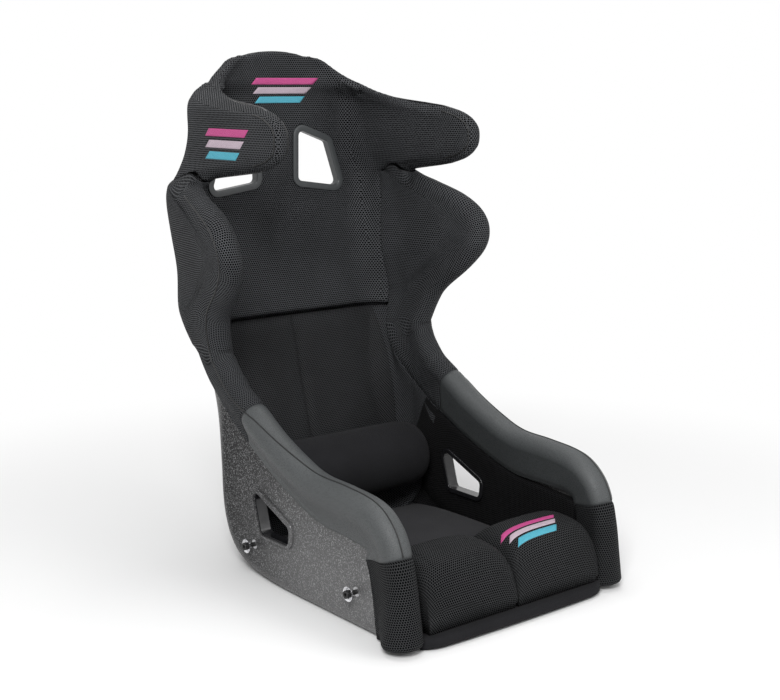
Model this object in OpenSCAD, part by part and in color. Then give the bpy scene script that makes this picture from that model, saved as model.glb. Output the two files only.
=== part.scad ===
// Fixed-back racing seat: moulded tub, glued upholstery, removable cushions.
// Millimetres. +Z up, the seat faces -Y, x = 0 is the symmetry plane, z = 0 is the floor.

/* [Overall size] */
// Height from the floor to the top of the head rest
seat_height = 908; // [760:1:1090]
// Outer width between the two flat hip panels
hip_width = 450; // [400:1:540]
// Depth from the front lip to the back of the tub
seat_depth = 706; // [600:1:850]

/* [Tub] */
// Laminate thickness of the moulded tub
shell_t = 5; // [3:0.5:8]
// Radius between the floor and the hip panels
floor_fillet = 20; // [12:1:30]
// Clearance between glued or fitted pieces
fit_gap = 0.3; // [0.2:0.1:0.6]

/* [Side mounting] */
// Distance between the front and the rear bolt
bolt_spacing = 290; // [240:1:330]
// Height of the bolts above the floor
bolt_height = 64; // [55:1:80]
// Distance from the rear bolt to the middle of the depth
rear_bolt_y = 86; // [60:1:100]
// Thread diameter of the bolts
bolt_d = 8; // [6:1:10]
// Length of bare thread left between the hip panel and the washer
bolt_standoff = 12; // [6:0.5:20]
// Diameter of the cup washers
washer_d = 24; // [20:1:28]
// Thickness of the steel strips inside the hip panels
strip_t = 3; // [2:0.5:5]

/* [Upholstery] */
// Foam on the inside of the hip panels
hip_foam = 12; // [8:1:18]
// Half thickness of the rolled edge along the rim
roll_r = 25; // [20:1:30]
// Foam on the floor of the tub
floor_foam = 16; // [10:1:22]
// Foam on the lower back, behind the cushion
back_foam = 9; // [6:1:14]
// Foam on the upper back
upper_foam = 36; // [28:1:42]

/* [Cushions] */
// Thickness of the back cushion
back_cushion_t = 27; // [20:1:34]
// Height of the base cushion's edge
base_cushion_t = 36; // [28:1:40]
// Diameter of the lumbar pillow
lumbar_d = 124; // [105:1:140]
// Height of the crest of the thigh cushions above the floor foam
thigh_cushion_h = 112; // [90:1:125]
// Gap between the cushions and the hip foam
side_gap = 20; // [14:1:30]

/* [Harness openings] */
// Width of the plastic flange round each shoulder opening
bezel_flange = 12; // [8:0.5:14]
// Width of the flange and of the moulded rim round each lap opening
lap_flange = 9; // [6:0.5:11]
// Thickness of that flange
bezel_t = 4; // [3:0.5:6]
// Wall of the sleeve through the tub
sleeve_t = 2.5; // [2:0.5:4]

/* [Hidden] */

sx = hip_width / 450;
sy = seat_depth / 706;
sz = seat_height / 908;
half_hip = hip_width / 2;

// How far the whole seat sits ahead of the nominal drawing, so that y = 0 is mid depth
y_mid = 19;
// A drawn depth as a position along Y
function along(y) = sy * (y - y_mid);

// ---- Smooth curves through hand-set points: rows of [key, value] ----
function row_at(tab, t, i = 0) = (i >= len(tab) - 2 || t < tab[i + 1][0]) ? i : row_at(tab, t, i + 1);
function slope_at(tab, i) =
    let(a = max(i - 1, 0), b = min(i + 1, len(tab) - 1)) (tab[b][1] - tab[a][1]) / (tab[b][0] - tab[a][0]);
function curve(tab, t) =
    let(
        i = row_at(tab, t),
        h = tab[i + 1][0] - tab[i][0],
        s = min(max((t - tab[i][0]) / h, 0), 1)
    )
    tab[i][1] * (1 + 2 * s) * pow(1 - s, 2) + tab[i + 1][1] * s * s * (3 - 2 * s)
    + h * (slope_at(tab, i) * s * pow(1 - s, 2) - slope_at(tab, i + 1) * s * s * (1 - s));
function column(tab, c) = [for (i = [0:len(tab) - 1]) [i, tab[i][c]]];
function mix(a, b, s) = a + (b - a) * s;

// ---- Ribs of the tub ----
// A rib is the tub's section in a plane through a rim point and a spine point, parallel to X.
// Lower ribs, from the foot of the front edge, round the heel, to the waist:
// [rim y, rim z, spine y, spine z, corner radius over the floor's, way into the panel in degrees]
lower_ribs = [
    [-295, 24, -300, 0, 1, 0],          // foot of the front post
    [-295, 70, -294.5, 0, 1, 0],
    [-293, 112, -292, 0, 1, -4],
    [-285, 146, -284, 0, 1, -16],
    [-266, 178, -266, 0, 1, -42],       // thigh corner
    [-230, 200, -232, 0, 1, -72],
    [-165, 207, -170, 0, 1, -91],
    [-90, 211, -95, 0, 1, -90],
    [-25, 231, -20, 0, 1, -89],
    [35, 257, 60, 0, 1.2, -86],
    [79, 282, 142, 0, 2.2, -80],
    [104, 296, 200, 3, 4, -73],         // heel begins
    [126, 308, 238, 32, 5.6, -67],
    [146, 320, 260, 108, 6.6, -61],
    [166, 338, 284, 200, 6.9, -49],
    [187, 362, 309, 290, 6.5, -31],
    [203, 392, 334, 392, 5.5, 0]        // waist
];
waist = len(lower_ribs) - 1;
waist_z = lower_ribs[waist][1];
// Upper ribs lie level. Rows of [z, value]
spine_y = [[392, 334], [424, 341], [458, 347], [500, 351], [560, 357], [600, 360], [640, 362], [700, 364], [760, 364],
    [845, 372], [908, 370]];
knee_x = [[392, 232], [425, 248], [458, 255], [532, 241], [640, 248], [685, 244], [725, 222], [760, 209],
    [813, 200], [829, 184], [845, 163], [869, 129], [889, 101], [908, 58]];
knee_r = [[392, 110], [500, 104], [600, 96], [675, 87], [760, 76], [813, 66], [829, 58], [869, 36], [908, 14]];
rim_x = [[392, 230], [484, 254], [560, 275], [600, 279], [640, 273], [672, 254], [690, 222], [705, 210],
    [760, 212], [805, 204], [829, 179], [845, 158], [869, 124], [889, 96], [908, 52]];
rim_y = [[392, 204], [430, 193], [458, 178], [505, 125], [545, 95], [585, 94], [618, 114], [645, 156], [668, 218],
    [682, 244], [691, 205], [702, 130], [716, 82], [740, 42], [760, 36], [780, 42], [798, 66], [810, 105],
    [820, 190], [832, 262], [850, 312], [875, 334], [908, 346]];
RIBS_PER_MM = 0.1;
function rib_of_z(z) = waist + (z - waist_z) * RIBS_PER_MM;

// A rib as [rim y, rim z, spine y, spine z, knee x, knee radius, rim x], at the driving sizes
function bare_rib(u) =
    let(z = waist_z + (u - waist) / RIBS_PER_MM)
    u <= waist
    ? let(m = min(max((u - waist) / 3 + 1, 0), 1))
        [along(curve(column(lower_ribs, 0), u)), sz * curve(column(lower_ribs, 1), u),
            along(curve(column(lower_ribs, 2), u)), sz * max(curve(column(lower_ribs, 3), u), 0),
            half_hip + sx * 7 * m * m, floor_fillet * curve(column(lower_ribs, 4), u),
            half_hip + sx * 5 * m * m]
    : [along(curve(rim_y, z)), sz * z, along(curve(spine_y, z)), sz * z,
        sx * curve(knee_x, z), sx * curve(knee_r, z), sx * curve(rim_x, z)];
// The same with a last value, how much longer a thickness across the spine is when cut along the rib
SPINE_STEP = 0.25;
function rib(u) =
    let(
        g = bare_rib(u),
        a = bare_rib(u - SPINE_STEP), b = bare_rib(u + SPINE_STEP),
        way = unit([b[2] - a[2], b[3] - a[3]]),
        up = unit([g[0] - g[2], g[1] - g[3]])
    )
    concat(g, [1 / max(up * [-way[1], way[0]], 0.6)]);
// Marks on a rib's half section: floor or back | corner | side wall
CORNER_START = 0.42;
CORNER_END = 0.70;
ARC_WEIGHT = 0.7071;

function unit(p) = p / norm(p);
function rib_length(g) = norm([g[0] - g[2], g[1] - g[3]]);
function in_rib(g, p) =
    let(len = rib_length(g))
    [p[0], g[2] + (g[0] - g[2]) / len * p[1], g[3] + (g[1] - g[3]) / len * p[1]];

// Knee, end and corner radius of rib g, moved inward by t
function knee(g, t) = [g[4] - t, t * g[7]];
function edge(g, t) = [g[6] - t, rib_length(g)];
function wall_way(g) = unit(edge(g, 0) - knee(g, 0));
function corner_r(g, t) = max(min(g[5] - t, rib_length(g) - t - 2), 2);
function wall_start(g, t) = knee(g, t) + wall_way(g) * corner_r(g, t);
function arc_point(a, k, b, s) =
    (a * pow(1 - s, 2) + k * 2 * ARC_WEIGHT * s * (1 - s) + b * s * s)
    / (pow(1 - s, 2) + 2 * ARC_WEIGHT * s * (1 - s) + s * s);
// Point of rib g at v (-1 at the left rim, 0 at the spine, 1 at the right rim), t inside the outer face
function flat_point(g, v, t) =
    let(a = abs(v), q = [knee(g, t)[0] - corner_r(g, t), t * g[7]], w = wall_start(g, t))
    a < CORNER_START ? mix([0, t * g[7]], q, a / CORNER_START)
    : a < CORNER_END ? arc_point(q, knee(g, t), w, (a - CORNER_START) / (CORNER_END - CORNER_START))
    : mix(w, edge(g, t), (a - CORNER_END) / (1 - CORNER_END));
function skin_point(g, v, t) =
    let(p = flat_point(g, v, t)) in_rib(g, [sign(v) * p[0], p[1]]);
// v at a distance from the rim, measured down the side wall and on round the corner
function v_at_depth(g, depth) =
    let(wall = norm(edge(g, 0) - wall_start(g, 0)), bend = 1.5 * corner_r(g, 0))
    depth < wall
    ? 1 - (1 - CORNER_END) * depth / wall
    : CORNER_END - (CORNER_END - CORNER_START) * min((depth - wall) / bend, 1);

// ---- Solids from point grids ----
// Closed solid between the grid under it and the grid over it, row by row
module slab(under, over) {
    rows = len(under);
    cols = len(under[0]);
    n = rows * cols;
    points = concat([for (r = under) each r], [for (r = over) each r]);
    // Both halves split their squares the mirrored way
    quads = [for (i = [0:rows - 2], j = [0:cols - 2])
        let(a = i * cols + j)
        j * 2 < cols - 1 ? [a, a + 1, a + cols + 1, a + cols] : [a + 1, a + cols + 1, a + cols, a]];
    rim = concat(
        [for (j = [0:cols - 1]) j],
        [for (i = [1:rows - 1]) i * cols + cols - 1],
        [for (j = [cols - 2:-1:0]) (rows - 1) * cols + j],
        [for (i = [rows - 2:-1:1]) i * cols]
    );
    m = len(rim);
    faces = concat(
        [for (q = quads) each [[q[0], q[1], q[2]], [q[0], q[2], q[3]]]],
        [for (q = quads) each [[n + q[0], n + q[2], n + q[1]], [n + q[0], n + q[3], n + q[2]]]],
        [for (k = [0:m - 1]) let(a = rim[k], b = rim[(k + 1) % m])
            each [[a, n + b, b], [a, n + a, n + b]]]
    );
    polyhedron(points, faces, convexity = 8);
}
// Closed solid through rings of points, with flat ends
module loft(rings) {
    m = len(rings[0]);
    last = (len(rings) - 1) * m;
    side = [for (i = [0:len(rings) - 2], j = [0:m - 1])
        let(a = i * m + j, b = i * m + (j + 1) % m) each [[a, b + m, b], [a, a + m, b + m]]];
    polyhedron(
        [for (r = rings) each r],
        concat(side, [[for (j = [0:m - 1]) j]], [[for (j = [m - 1:-1:0]) last + j]]),
        convexity = 8
    );
}
// Children resolved into one solid before anything else is done with them
module one_solid() {
    resize([0, 0, 0]) union() children();
}

// ---- Tub ----
lining_t = shell_t + fit_gap;
$fn = 32;
TINY = 0.01;
THROUGH = 60;
v_marks = [0, 0.42, 0.49, 0.56, 0.63, 0.70, 0.85, 1];
tub_vs = concat([for (i = [len(v_marks) - 1:-1:1]) -v_marks[i]], v_marks);
tub_zs = [409, 424, 448, 478, 510, 545, 580, 612, 640, 660, 682, 692, 706, 724, 742, 760, 780, 798, 812, 826, 842,
    862, 885];
tub_us = concat([0, 1, 2, 3, 3.5, 4, 4.5, 5, 6, 7, 8, 9], [for (u = [10:0.5:waist]) u], [for (z = tub_zs) rib_of_z(z)]);
// How far the tub's edge stays back from the outline of the head rest
edge_back = [[392, 0], [815, 0], [842, 18], [908, 18]];
function z_of_rib(u) = waist_z + (u - waist) / RIBS_PER_MM;
function tub_edge_v(u) = u <= waist ? 1 : v_at_depth(rib(u), sx * curve(edge_back, z_of_rib(u)));
// A mark beyond the start of the corner, drawn in so that the last one lies on the tub's edge
function drawn_in(v, lim) =
    let(a = abs(v)) a <= CORNER_START ? v : sign(v) * mix(CORNER_START, lim, (a - CORNER_START) / (1 - CORNER_START));
function tub_grid(t) =
    [for (u = tub_us) let(g = rib(u), lim = tub_edge_v(u)) [for (v = tub_vs) skin_point(g, drawn_in(v, lim), t)]];

// Openings, as drawn corners
shoulder_corners = [[37, 781], [126, 748], [163, 639], [35, 657]];
lap_corners = [[104, 163], [82, 90], [0, 90], [-3, 119]];
OPENING_CORNER = 9;
shoulder_front = along(344.5);
shoulder_back = along(362);
// The moulded rim stands out above and ahead of the opening
LAP_RIM_H = 4;
LAP_RIM_SHIFT = [0, -3, 2];
crotch_y = along(-120);
crotch_slot = [90, 24];
module shoulder_outline(grow) {
    offset(r = OPENING_CORNER + grow, $fn = 20) offset(delta = -OPENING_CORNER - bezel_flange)
        polygon([for (p = shoulder_corners) [sx * p[0], sz * p[1]]]);
}
module lap_outline(grow) {
    offset(r = OPENING_CORNER + grow, $fn = 20) offset(delta = -OPENING_CORNER)
        polygon([for (p = lap_corners) [along(p[0]), sz * p[1]]]);
}
// Right-hand extrusions along Y and along X
module shoulder_prism(y0, y1, grow) {
    translate([0, y1, 0]) rotate([90, 0, 0]) linear_extrude(y1 - y0) shoulder_outline(grow);
}
module lap_prism(x0, x1, grow) {
    translate([x0, 0, 0]) rotate([90, 0, 90]) linear_extrude(x1 - x0) lap_outline(grow);
}

collar_r = bolt_d;
bolt_ys = [rear_bolt_y, rear_bolt_y - bolt_spacing];
module at_bolts(x) {
    for (y = bolt_ys) translate([x, y, bolt_height]) rotate([0, 90, 0]) children();
}
module crotch_hole(z0, z1) {
    translate([0, crotch_y, z0]) linear_extrude(z1 - z0) offset(r = crotch_slot[1] / 2 - TINY)
        square([crotch_slot[0] - crotch_slot[1], 2 * TINY], center = true);
}

// Space that the tub takes, with the clearance that glued padding keeps from it
module tub_space() {
    slab(tub_grid(-fit_gap), tub_grid(lining_t));
}
module off_tub() {
    one_solid() difference() {
        children();
        tub_space();
    }
}
module shell() {
    color("dimgray") one_solid() difference() {
        union() {
            slab(tub_grid(0), tub_grid(shell_t));
            for (side = [0, 1]) mirror([side, 0, 0]) translate(LAP_RIM_SHIFT)
                lap_prism(half_hip - shell_t / 2, half_hip + LAP_RIM_H, lap_flange);
        }
        for (side = [0, 1]) mirror([side, 0, 0]) {
            shoulder_prism(shoulder_front - THROUGH, shoulder_back + THROUGH,
                sleeve_t + fit_gap);
            lap_prism(half_hip - THROUGH, half_hip + THROUGH, sleeve_t + fit_gap);
            at_bolts(half_hip - THROUGH) cylinder(h = 2 * THROUGH, r = collar_r + fit_gap);
        }
        crotch_hole(-THROUGH, shell_t + TINY);
    }
}

// ---- Side mounting ----
STRIP_HALF_H = 15;
STRIP_END = 22;
BORE_CLEAR = 0.1;
inner_wall = half_hip - shell_t - fit_gap;
module mount_strip(grow) {
    translate([inner_wall - strip_t - grow, rear_bolt_y - bolt_spacing - STRIP_END - grow, bolt_height - STRIP_HALF_H - grow])
        cube([strip_t + grow + TINY, bolt_spacing + 2 * (STRIP_END + grow), 2 * (STRIP_HALF_H + grow)]);
}
module mount_insert() {
    color("silver") difference() {
        union() {
            mount_strip(0);
            at_bolts(inner_wall - strip_t) cylinder(h = half_hip - inner_wall + strip_t, r = collar_r);
        }
        at_bolts(inner_wall - strip_t - 1) cylinder(h = THROUGH, r = bolt_d / 2 + BORE_CLEAR);
    }
}
washer_bore_r = bolt_d / 2 + 0.3;
WASHER_T = 1.8;
CUP_H = 5.5;
module cup_washer() {
    rim = washer_d / 2;
    rotate_extrude() polygon([[washer_bore_r, 0], [rim * 0.68, 0], [rim, CUP_H - WASHER_T], [rim, CUP_H],
        [rim - 1, CUP_H], [rim * 0.64, WASHER_T], [washer_bore_r, WASHER_T]]);
}
HEAD_H = 8;
SOCKET_DEEP = 4;
BOLT_END = 1;
module side_bolt() {
    fit_r = bolt_d / 2 - BORE_CLEAR;
    back = half_hip - inner_wall + strip_t + BOLT_END;
    head_z = bolt_standoff + WASHER_T;
    translate([0, 0, -back]) cylinder(h = back, r = fit_r);
    cylinder(h = bolt_standoff, r = bolt_d / 2);
    translate([0, 0, bolt_standoff - TINY]) cylinder(h = WASHER_T + 2 * TINY, r = fit_r);
    translate([0, 0, head_z]) difference() {
        cylinder(h = HEAD_H, r = bolt_d * 0.81);
        translate([0, 0, HEAD_H - SOCKET_DEEP]) cylinder(h = HEAD_H, r = bolt_d * 0.433, $fn = 6);
    }
}
module side_bolts() {
    color("black") for (side = [0, 1]) mirror([side, 0, 0]) at_bolts(half_hip) side_bolt();
}
module cup_washers() {
    color("gainsboro") for (side = [0, 1]) mirror([side, 0, 0]) at_bolts(half_hip + bolt_standoff) cup_washer();
}

// ---- Harness bezels ----
module shoulder_bezel() {
    color("darkslategray") difference() {
        union() {
            shoulder_prism(shoulder_front, shoulder_front + bezel_t, bezel_flange);
            shoulder_prism(shoulder_front + bezel_t / 2, shoulder_back, sleeve_t);
        }
        shoulder_prism(shoulder_front - 1, shoulder_back + 1, 0);
    }
}
liner_face = inner_wall - hip_foam;
module lap_bezel() {
    color("black") difference() {
        union() {
            lap_prism(liner_face - fit_gap - bezel_t, liner_face - fit_gap, lap_flange);
            lap_prism(liner_face - fit_gap - bezel_t / 2, half_hip, sleeve_t);
        }
        lap_prism(liner_face - bezel_t - 1, half_hip + bezel_t, 0);
    }
}
// ---- Edge rolls: padding folded over the tub's edge ----
SLOT_CLEAR = 2;
PLANAR_TO = 6;
// Height of the front post's foot below its first rib, at a station of -1
FOOT_H = 22;
// Point a distance s into the panel from the edge at station u, t inside the outer face
function roll_point(u, s, t) =
    let(g = rib(max(u, 0)))
    u < PLANAR_TO
    ? let(a = curve(column(lower_ribs, 5), u), foot = min(u, 0) * FOOT_H)
        [half_hip - t, g[0] + cos(a) * s, g[1] + foot + sin(a) * s]
    : in_rib(g, flat_point(g, v_at_depth(g, s), t));
// How far the rolls reach inside: a table for the hips, the start of the corner above the waist
roll_in = [[-1, 44], [0, 50], [3, 48], [4, 46], [6, 52], [10, 60], [12, 62], [13, 64], [14.5, 64], [16, 70]];
roll_out = [[-1, 52], [0, 56], [2, 58], [3, 50], [4, 47], [6, 56], [10, 64], [12, 50], [14, 48], [16, 52]];
CORNER_SHARE = 0.45;
function wall_length(g) = norm(edge(g, 0) - wall_start(g, 0));
function corner_depth(u, share) = let(g = rib(u)) wall_length(g) + share * corner_r(g, 0);
function in_depth(u) = u <= waist ? curve(roll_in, u) : max(corner_depth(u, CORNER_SHARE), 55);
function out_depth(u) = u <= waist ? curve(roll_out, u) : max(corner_depth(u, 0.5), 48);
// Thickness of the padding by height, over the spine and at the seam with the rolls, as shares of upper_foam
centre_shape = [[392, 1.05], [424, 1.05], [458, 1], [500, 0.83], [560, 0.67], [600, 0.53], [640, 0.33], [700, 0.25],
    [760, 0.27], [845, 0.53], [908, 0.44]];
seam_shape = [[392, 0.85], [500, 0.9], [600, 0.95], [682, 0.8], [760, 0.66], [826, 0.6], [908, 0.44]];
function foam_by(tab, u) = upper_foam * curve(tab, z_of_rib(max(u, waist)));
function seam_foam(u) = u <= 13 ? hip_foam : mix(hip_foam, foam_by(seam_shape, u), min((u - 13) / 3, 1));
function foam_at(u, v, last) =
    mix(foam_by(centre_shape, u), seam_foam(u), ease(min(max((abs(v) - CORNER_START) / (last - CORNER_START), 0), 1)));
// Radius of the roll, by station
nose_hip = [[-1, 1], [-0.6, 1.08], [0, 1], [1, 0.86], [2.5, 0.85], [5, 1], [waist, 0.96]];
nose_top = [[392, 0.96], [640, 0.96], [672, 0.84], [710, 0.8], [908, 0.8]];
function nose_r(u) = roll_r * (u <= waist ? curve(nose_hip, u) : curve(nose_top, z_of_rib(u)));
function thin_edge(u) = u <= waist ? 2 : 4;
function ease(s) = s * s * (3 - 2 * s);
// Shares of the depth at which a roll's section has its points, over a flat panel and round a corner
FLAT_IN = [0.25, 0.5, 0.75, 1];
FLAT_OUT = [0.33, 0.67, 1];
BENT = [0.3, 0.6, 0.8, 0.9, 1];
function back_to_front(list) = [for (i = [len(list) - 1:-1:0]) list[i]];
function roll_ring(u, ins, outs) =
    let(r = nose_r(max(u, -1)), mid = shell_t / 2, deep = in_depth(u), out = out_depth(u), foam = lining_t + seam_foam(u))
    concat(
        [for (k = back_to_front(ins)) roll_point(u, deep * k, mix(mid + r, foam, k))],
        [for (a = [0:45:180]) roll_point(u, -r * sin(a), mid + r * cos(a))],
        [for (k = outs) roll_point(u, out * k, mix(mid - r, -thin_edge(u), ease(k)))],
        [for (k = back_to_front(outs)) roll_point(u, out * k, shell_t / 3)],
        [roll_point(u, SLOT_CLEAR, shell_t / 3), roll_point(u, SLOT_CLEAR, shell_t * 2 / 3)],
        [for (k = ins) roll_point(u, deep * k, shell_t * 2 / 3)]
    );
module edge_roll(us, ins, outs) {
    off_tub() loft([for (u = us) roll_ring(u, ins, outs)]);
}
VINYL_FROM = 3;
VINYL_TO = 10.8;
notch = rib_of_z(682);
wing_top = rib_of_z(826);
post_us = [-0.93, -0.5, 0, 0.8, 1.6, 2.4, VINYL_FROM];
thigh_us = [VINYL_FROM, 3.5, 4, 4.5, 5, 5.5, 6, 6.8, 7.6, 8.4, 9.2, 10, VINYL_TO];
shoulder_us = concat([VINYL_TO, 11.5, 12.25, 13, 14, 15, waist],
    [for (z = [424, 448, 478, 510, 545, 580, 612, 640, 660]) rib_of_z(z)], [notch]);
wing_us = concat([notch], [for (z = [692, 706, 724, 742, 760, 780, 798, 812]) rib_of_z(z)], [wing_top]);
module front_post() { color("#202022") edge_roll(post_us, FLAT_IN, FLAT_OUT); }
module thigh_bolster() { color("#4a4e52") edge_roll(thigh_us, FLAT_IN, FLAT_OUT); }
module shoulder_bolster() { color("#202022") edge_roll(shoulder_us, BENT, BENT); }
module head_wing() { color("#202022") edge_roll(wing_us, BENT, BENT); }

// ---- Glued padding inside the tub ----
floor_top = lining_t + floor_foam;
pan_half = half_hip - 39;
module pan_foam() {
    color("#2a2a2c") difference() {
        translate([-pan_half, along(-298), lining_t]) cube([2 * pan_half, along(128) - along(-298), floor_foam]);
        crotch_hole(0, THROUGH);
    }
}
// The lip across the front: rows of [share of the half width, share of the depth]
lip_plan = [[-1, 0.8], [-0.93, 0.92], [-0.8, 1], [0, 1.06], [0.8, 1], [0.93, 0.92], [1, 0.8]];
lip_side = [[0, 0], [0, 1], [0.55, 1], [0.86, 0.82], [1, 0.5], [0.94, 0.15], [0.75, 0]];
module front_lip_pad() {
    half = half_hip - shell_t / 2 - roll_r * 1.05 - fit_gap;
    back = rib(0)[2] - fit_gap;
    deep = along(-332) - back;
    color("#1a1a1c") loft([for (m = lip_plan) [for (p = lip_side)
        [half * m[0], back + deep * m[1] * p[0], mix(fit_gap, floor_top, p[1])]]]);
}
liner_us = [4.85, 5, 6, 7, 8, 9, 10, 11, 12, 12.3];
liner_low = [[0, 0.72], [10, 0.71], [13, 0.7]];
LINER_STEPS = 4;
function liner_point(u, k, t) =
    let(g = rib(u), top = v_at_depth(g, in_depth(u) + (u < PLANAR_TO ? 12 : 3)))
    skin_point(g, mix(curve(liner_low, u), max(top, curve(liner_low, u) + 0.02), k / LINER_STEPS), t);
module side_liner() {
    color("#232325") one_solid() difference() {
        slab(
            [for (u = liner_us) [for (k = [0:LINER_STEPS]) liner_point(u, k, shell_t / 2)]],
            [for (u = liner_us) [for (k = [0:LINER_STEPS]) liner_point(u, k, lining_t + hip_foam)]]
        );
        tub_space();
        lap_prism(half_hip - THROUGH, half_hip, sleeve_t + fit_gap);
        mount_strip(fit_gap);
        at_bolts(liner_face + 4) cylinder(h = THROUGH, r = bolt_d / 2 + 1);
    }
}
// Places across the padding: flat over the spine, then round the corner to the seam with the rolls
CORNER_STEPS = 5;
back_ps = concat([for (k = [CORNER_STEPS:-1:0]) -1 - k], [0], [for (k = [0:CORNER_STEPS]) 1 + k]);
function back_v(p, last) =
    p == 0 ? 0 : sign(p) * mix(CORNER_START, last, (abs(p) - 1) / CORNER_STEPS);
SEAM_GAP_V = 0.003;
// Depth of the pads' backs before the tub is cut out of them
glue_t = shell_t * 0.9;
function seam_v(u) = v_at_depth(rib(u), in_depth(u)) - SEAM_GAP_V;
lower_us = concat([12.3, 13.1, 13.45, 14, 14.5, 15, 15.5, waist], [for (z = [409, 424]) rib_of_z(z)]);
CUSHION_EDGE_V = 0.6;
function low_back_t(u, v) =
    mix(back_foam, seam_foam(u), ease(min(max((abs(v) - CUSHION_EDGE_V) / max(seam_v(u) - CUSHION_EDGE_V, 0.02), 0), 1)));
module lower_back_pad() {
    color("#242426") off_tub() slab(
        [for (u = lower_us) [for (p = back_ps) skin_point(rib(u), back_v(p, seam_v(u)), glue_t)]],
        [for (u = lower_us) [for (p = back_ps)
            let(v = back_v(p, seam_v(u))) skin_point(rib(u), v, lining_t + low_back_t(u, v))]]
    );
}
upper_us = [for (z = [424, 448, 478, 510, 545, 580, 612, 640]) rib_of_z(z)];
module upper_back_pad() {
    color("#242426") off_tub() slab(
        [for (u = upper_us) [for (p = back_ps) skin_point(rib(u), back_v(p, seam_v(u)), glue_t)]],
        [for (u = upper_us) [for (p = back_ps)
            let(v = back_v(p, seam_v(u))) skin_point(rib(u), v, lining_t + foam_at(u, v, seam_v(u)))]]
    );
}
head_us = [for (z = [640, 660, 682, 706, 742, 780, 812, 826, 842, 862, 885, 898, 905, 908]) rib_of_z(z)];
function head_v(u) = mix(seam_v(u), 1, min(max((u - wing_top) / 1.6, 0), 1));
function head_t(u, p) = foam_at(u, back_v(p, head_v(u)), head_v(u)) * (u <= wing_top ? 1 : mix(1, 0.45, min((u - wing_top) / 1.6, 1) * pow(abs(p) / (CORNER_STEPS + 1), 8)));
module head_pad() {
    color("#202022") one_solid() difference() {
        slab(
            [for (u = head_us) [for (p = back_ps) skin_point(rib(u), back_v(p, head_v(u)), glue_t)]],
            [for (u = head_us) [for (p = back_ps)
                skin_point(rib(u), back_v(p, head_v(u)), lining_t + head_t(u, p))]]
        );
        tub_space();
        for (side = [0, 1]) mirror([side, 0, 0]) {
            shoulder_prism(shoulder_front - THROUGH, shoulder_back + THROUGH, sleeve_t + fit_gap);
            shoulder_prism(shoulder_front - THROUGH, shoulder_front + bezel_t + fit_gap, bezel_flange + fit_gap);
        }
    }
}

// ---- Hook-and-loop tapes ----
TAPE_T = 1.2;
TAPE_X0 = 50;
TAPE_X1 = 90;
module seat_tape() {
    color("#111111") for (side = [0, 1]) mirror([side, 0, 0])
        translate([TAPE_X0, along(-100), floor_top]) cube([TAPE_X1 - TAPE_X0, along(100) - along(-100), TAPE_T]);
}
tape_us = [14, 14.5, 15, 15.5, waist];
module back_tape() {
    t0 = lining_t + back_foam + BORE_CLEAR;
    color("#111111") for (side = [0, 1]) mirror([side, 0, 0]) slab(
        [for (u = tape_us) [for (v = [0.17, 0.31]) skin_point(rib(u), v, t0)]],
        [for (u = tape_us) [for (v = [0.17, 0.31]) skin_point(rib(u), v, t0 + TAPE_T)]]
    );
}

// ---- Loose cushions ----
function round_over(d, r) = d >= r ? 1 : sqrt(max(1 - pow(1 - max(d, 0) / r, 2), 0));
half_marks = [0, 0.03, 0.2, 0.4, 0.6, 0.78, 0.9, 0.97, 1];
full_marks = concat([for (i = [len(half_marks) - 1:-1:1]) -half_marks[i]], half_marks);
// Part of the thickness left at a cushion's edge
EDGE_LEFT = 0.35;
EDGE_ROUND = 0.16;
function crown(p, q, seam) =
    mix(EDGE_LEFT, 1, round_over(1 - abs(p), EDGE_ROUND) * round_over(1 - abs(q), EDGE_ROUND))
    * (1 - seam * max(1 - abs(p) / 0.1, 0));
DRAW_IN = 0.02;
cushion_z = floor_top + TAPE_T + fit_gap;
base_half = liner_face - side_gap;
base_front = along(-131);
base_rear = along(150);
BASE_CROWN = 14;
base_slope = [[-1, 1], [0.2, 1], [1, 0.8]];
function base_point(p, q, over) =
    let(
        x = base_half * p * (1 - DRAW_IN * (1 - q * q)),
        y = mix(base_front, base_rear, (q * (1 - DRAW_IN * (1 - p * p)) + 1) / 2),
        t = (base_cushion_t + BASE_CROWN * (1 - pow(p, 4)) * (1 - pow(q, 4))) * curve(base_slope, q)
    )
    [x, y, cushion_z + (over ? t * crown(p, q, 0) : 0)];
module base_cushion() {
    color("#1c1c1e") slab(
        [for (q = full_marks) [for (p = full_marks) base_point(p, q, false)]],
        [for (q = full_marks) [for (p = full_marks) base_point(p, q, true)]]
    );
}
// Side view of a thigh cushion: [share of its length from the front, share of its height]
thigh_side = [[0, 0.22], [0.02, 0.42], [0.06, 0.68], [0.14, 0.86], [0.27, 0.98], [0.4, 1], [0.54, 0.95], [0.7, 0.76],
    [0.86, 0.48], [0.96, 0.32], [1, 0.24]];
thigh_front = along(-319);
thigh_rear = along(-133);
THIGH_GAP = 1;
thigh_qs = [0, 0.02, 0.06, 0.14, 0.27, 0.4, 0.54, 0.7, 0.86, 0.96, 1];
thigh_ps = [0, 0.03, 0.1, 0.22, 0.4, 0.6, 0.78, 0.9, 0.97, 1];
thigh_cross = [[0, 0.66], [0.03, 0.78], [0.1, 0.87], [0.22, 0.94], [0.5, 1], [0.78, 0.98], [0.9, 0.93], [0.97, 0.8], [1, 0.66]];
function thigh_point(p, q, over) =
    let(
        x0 = THIGH_GAP + 3 * (1 - pow(2 * q - 1, 2)) * 0.5,
        x = mix(x0, base_half, p),
        y = mix(thigh_front, thigh_rear, q)
    )
    [x, y, over ? cushion_z + thigh_cushion_h * curve(thigh_side, q) * curve(thigh_cross, p) : floor_top + fit_gap];
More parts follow.
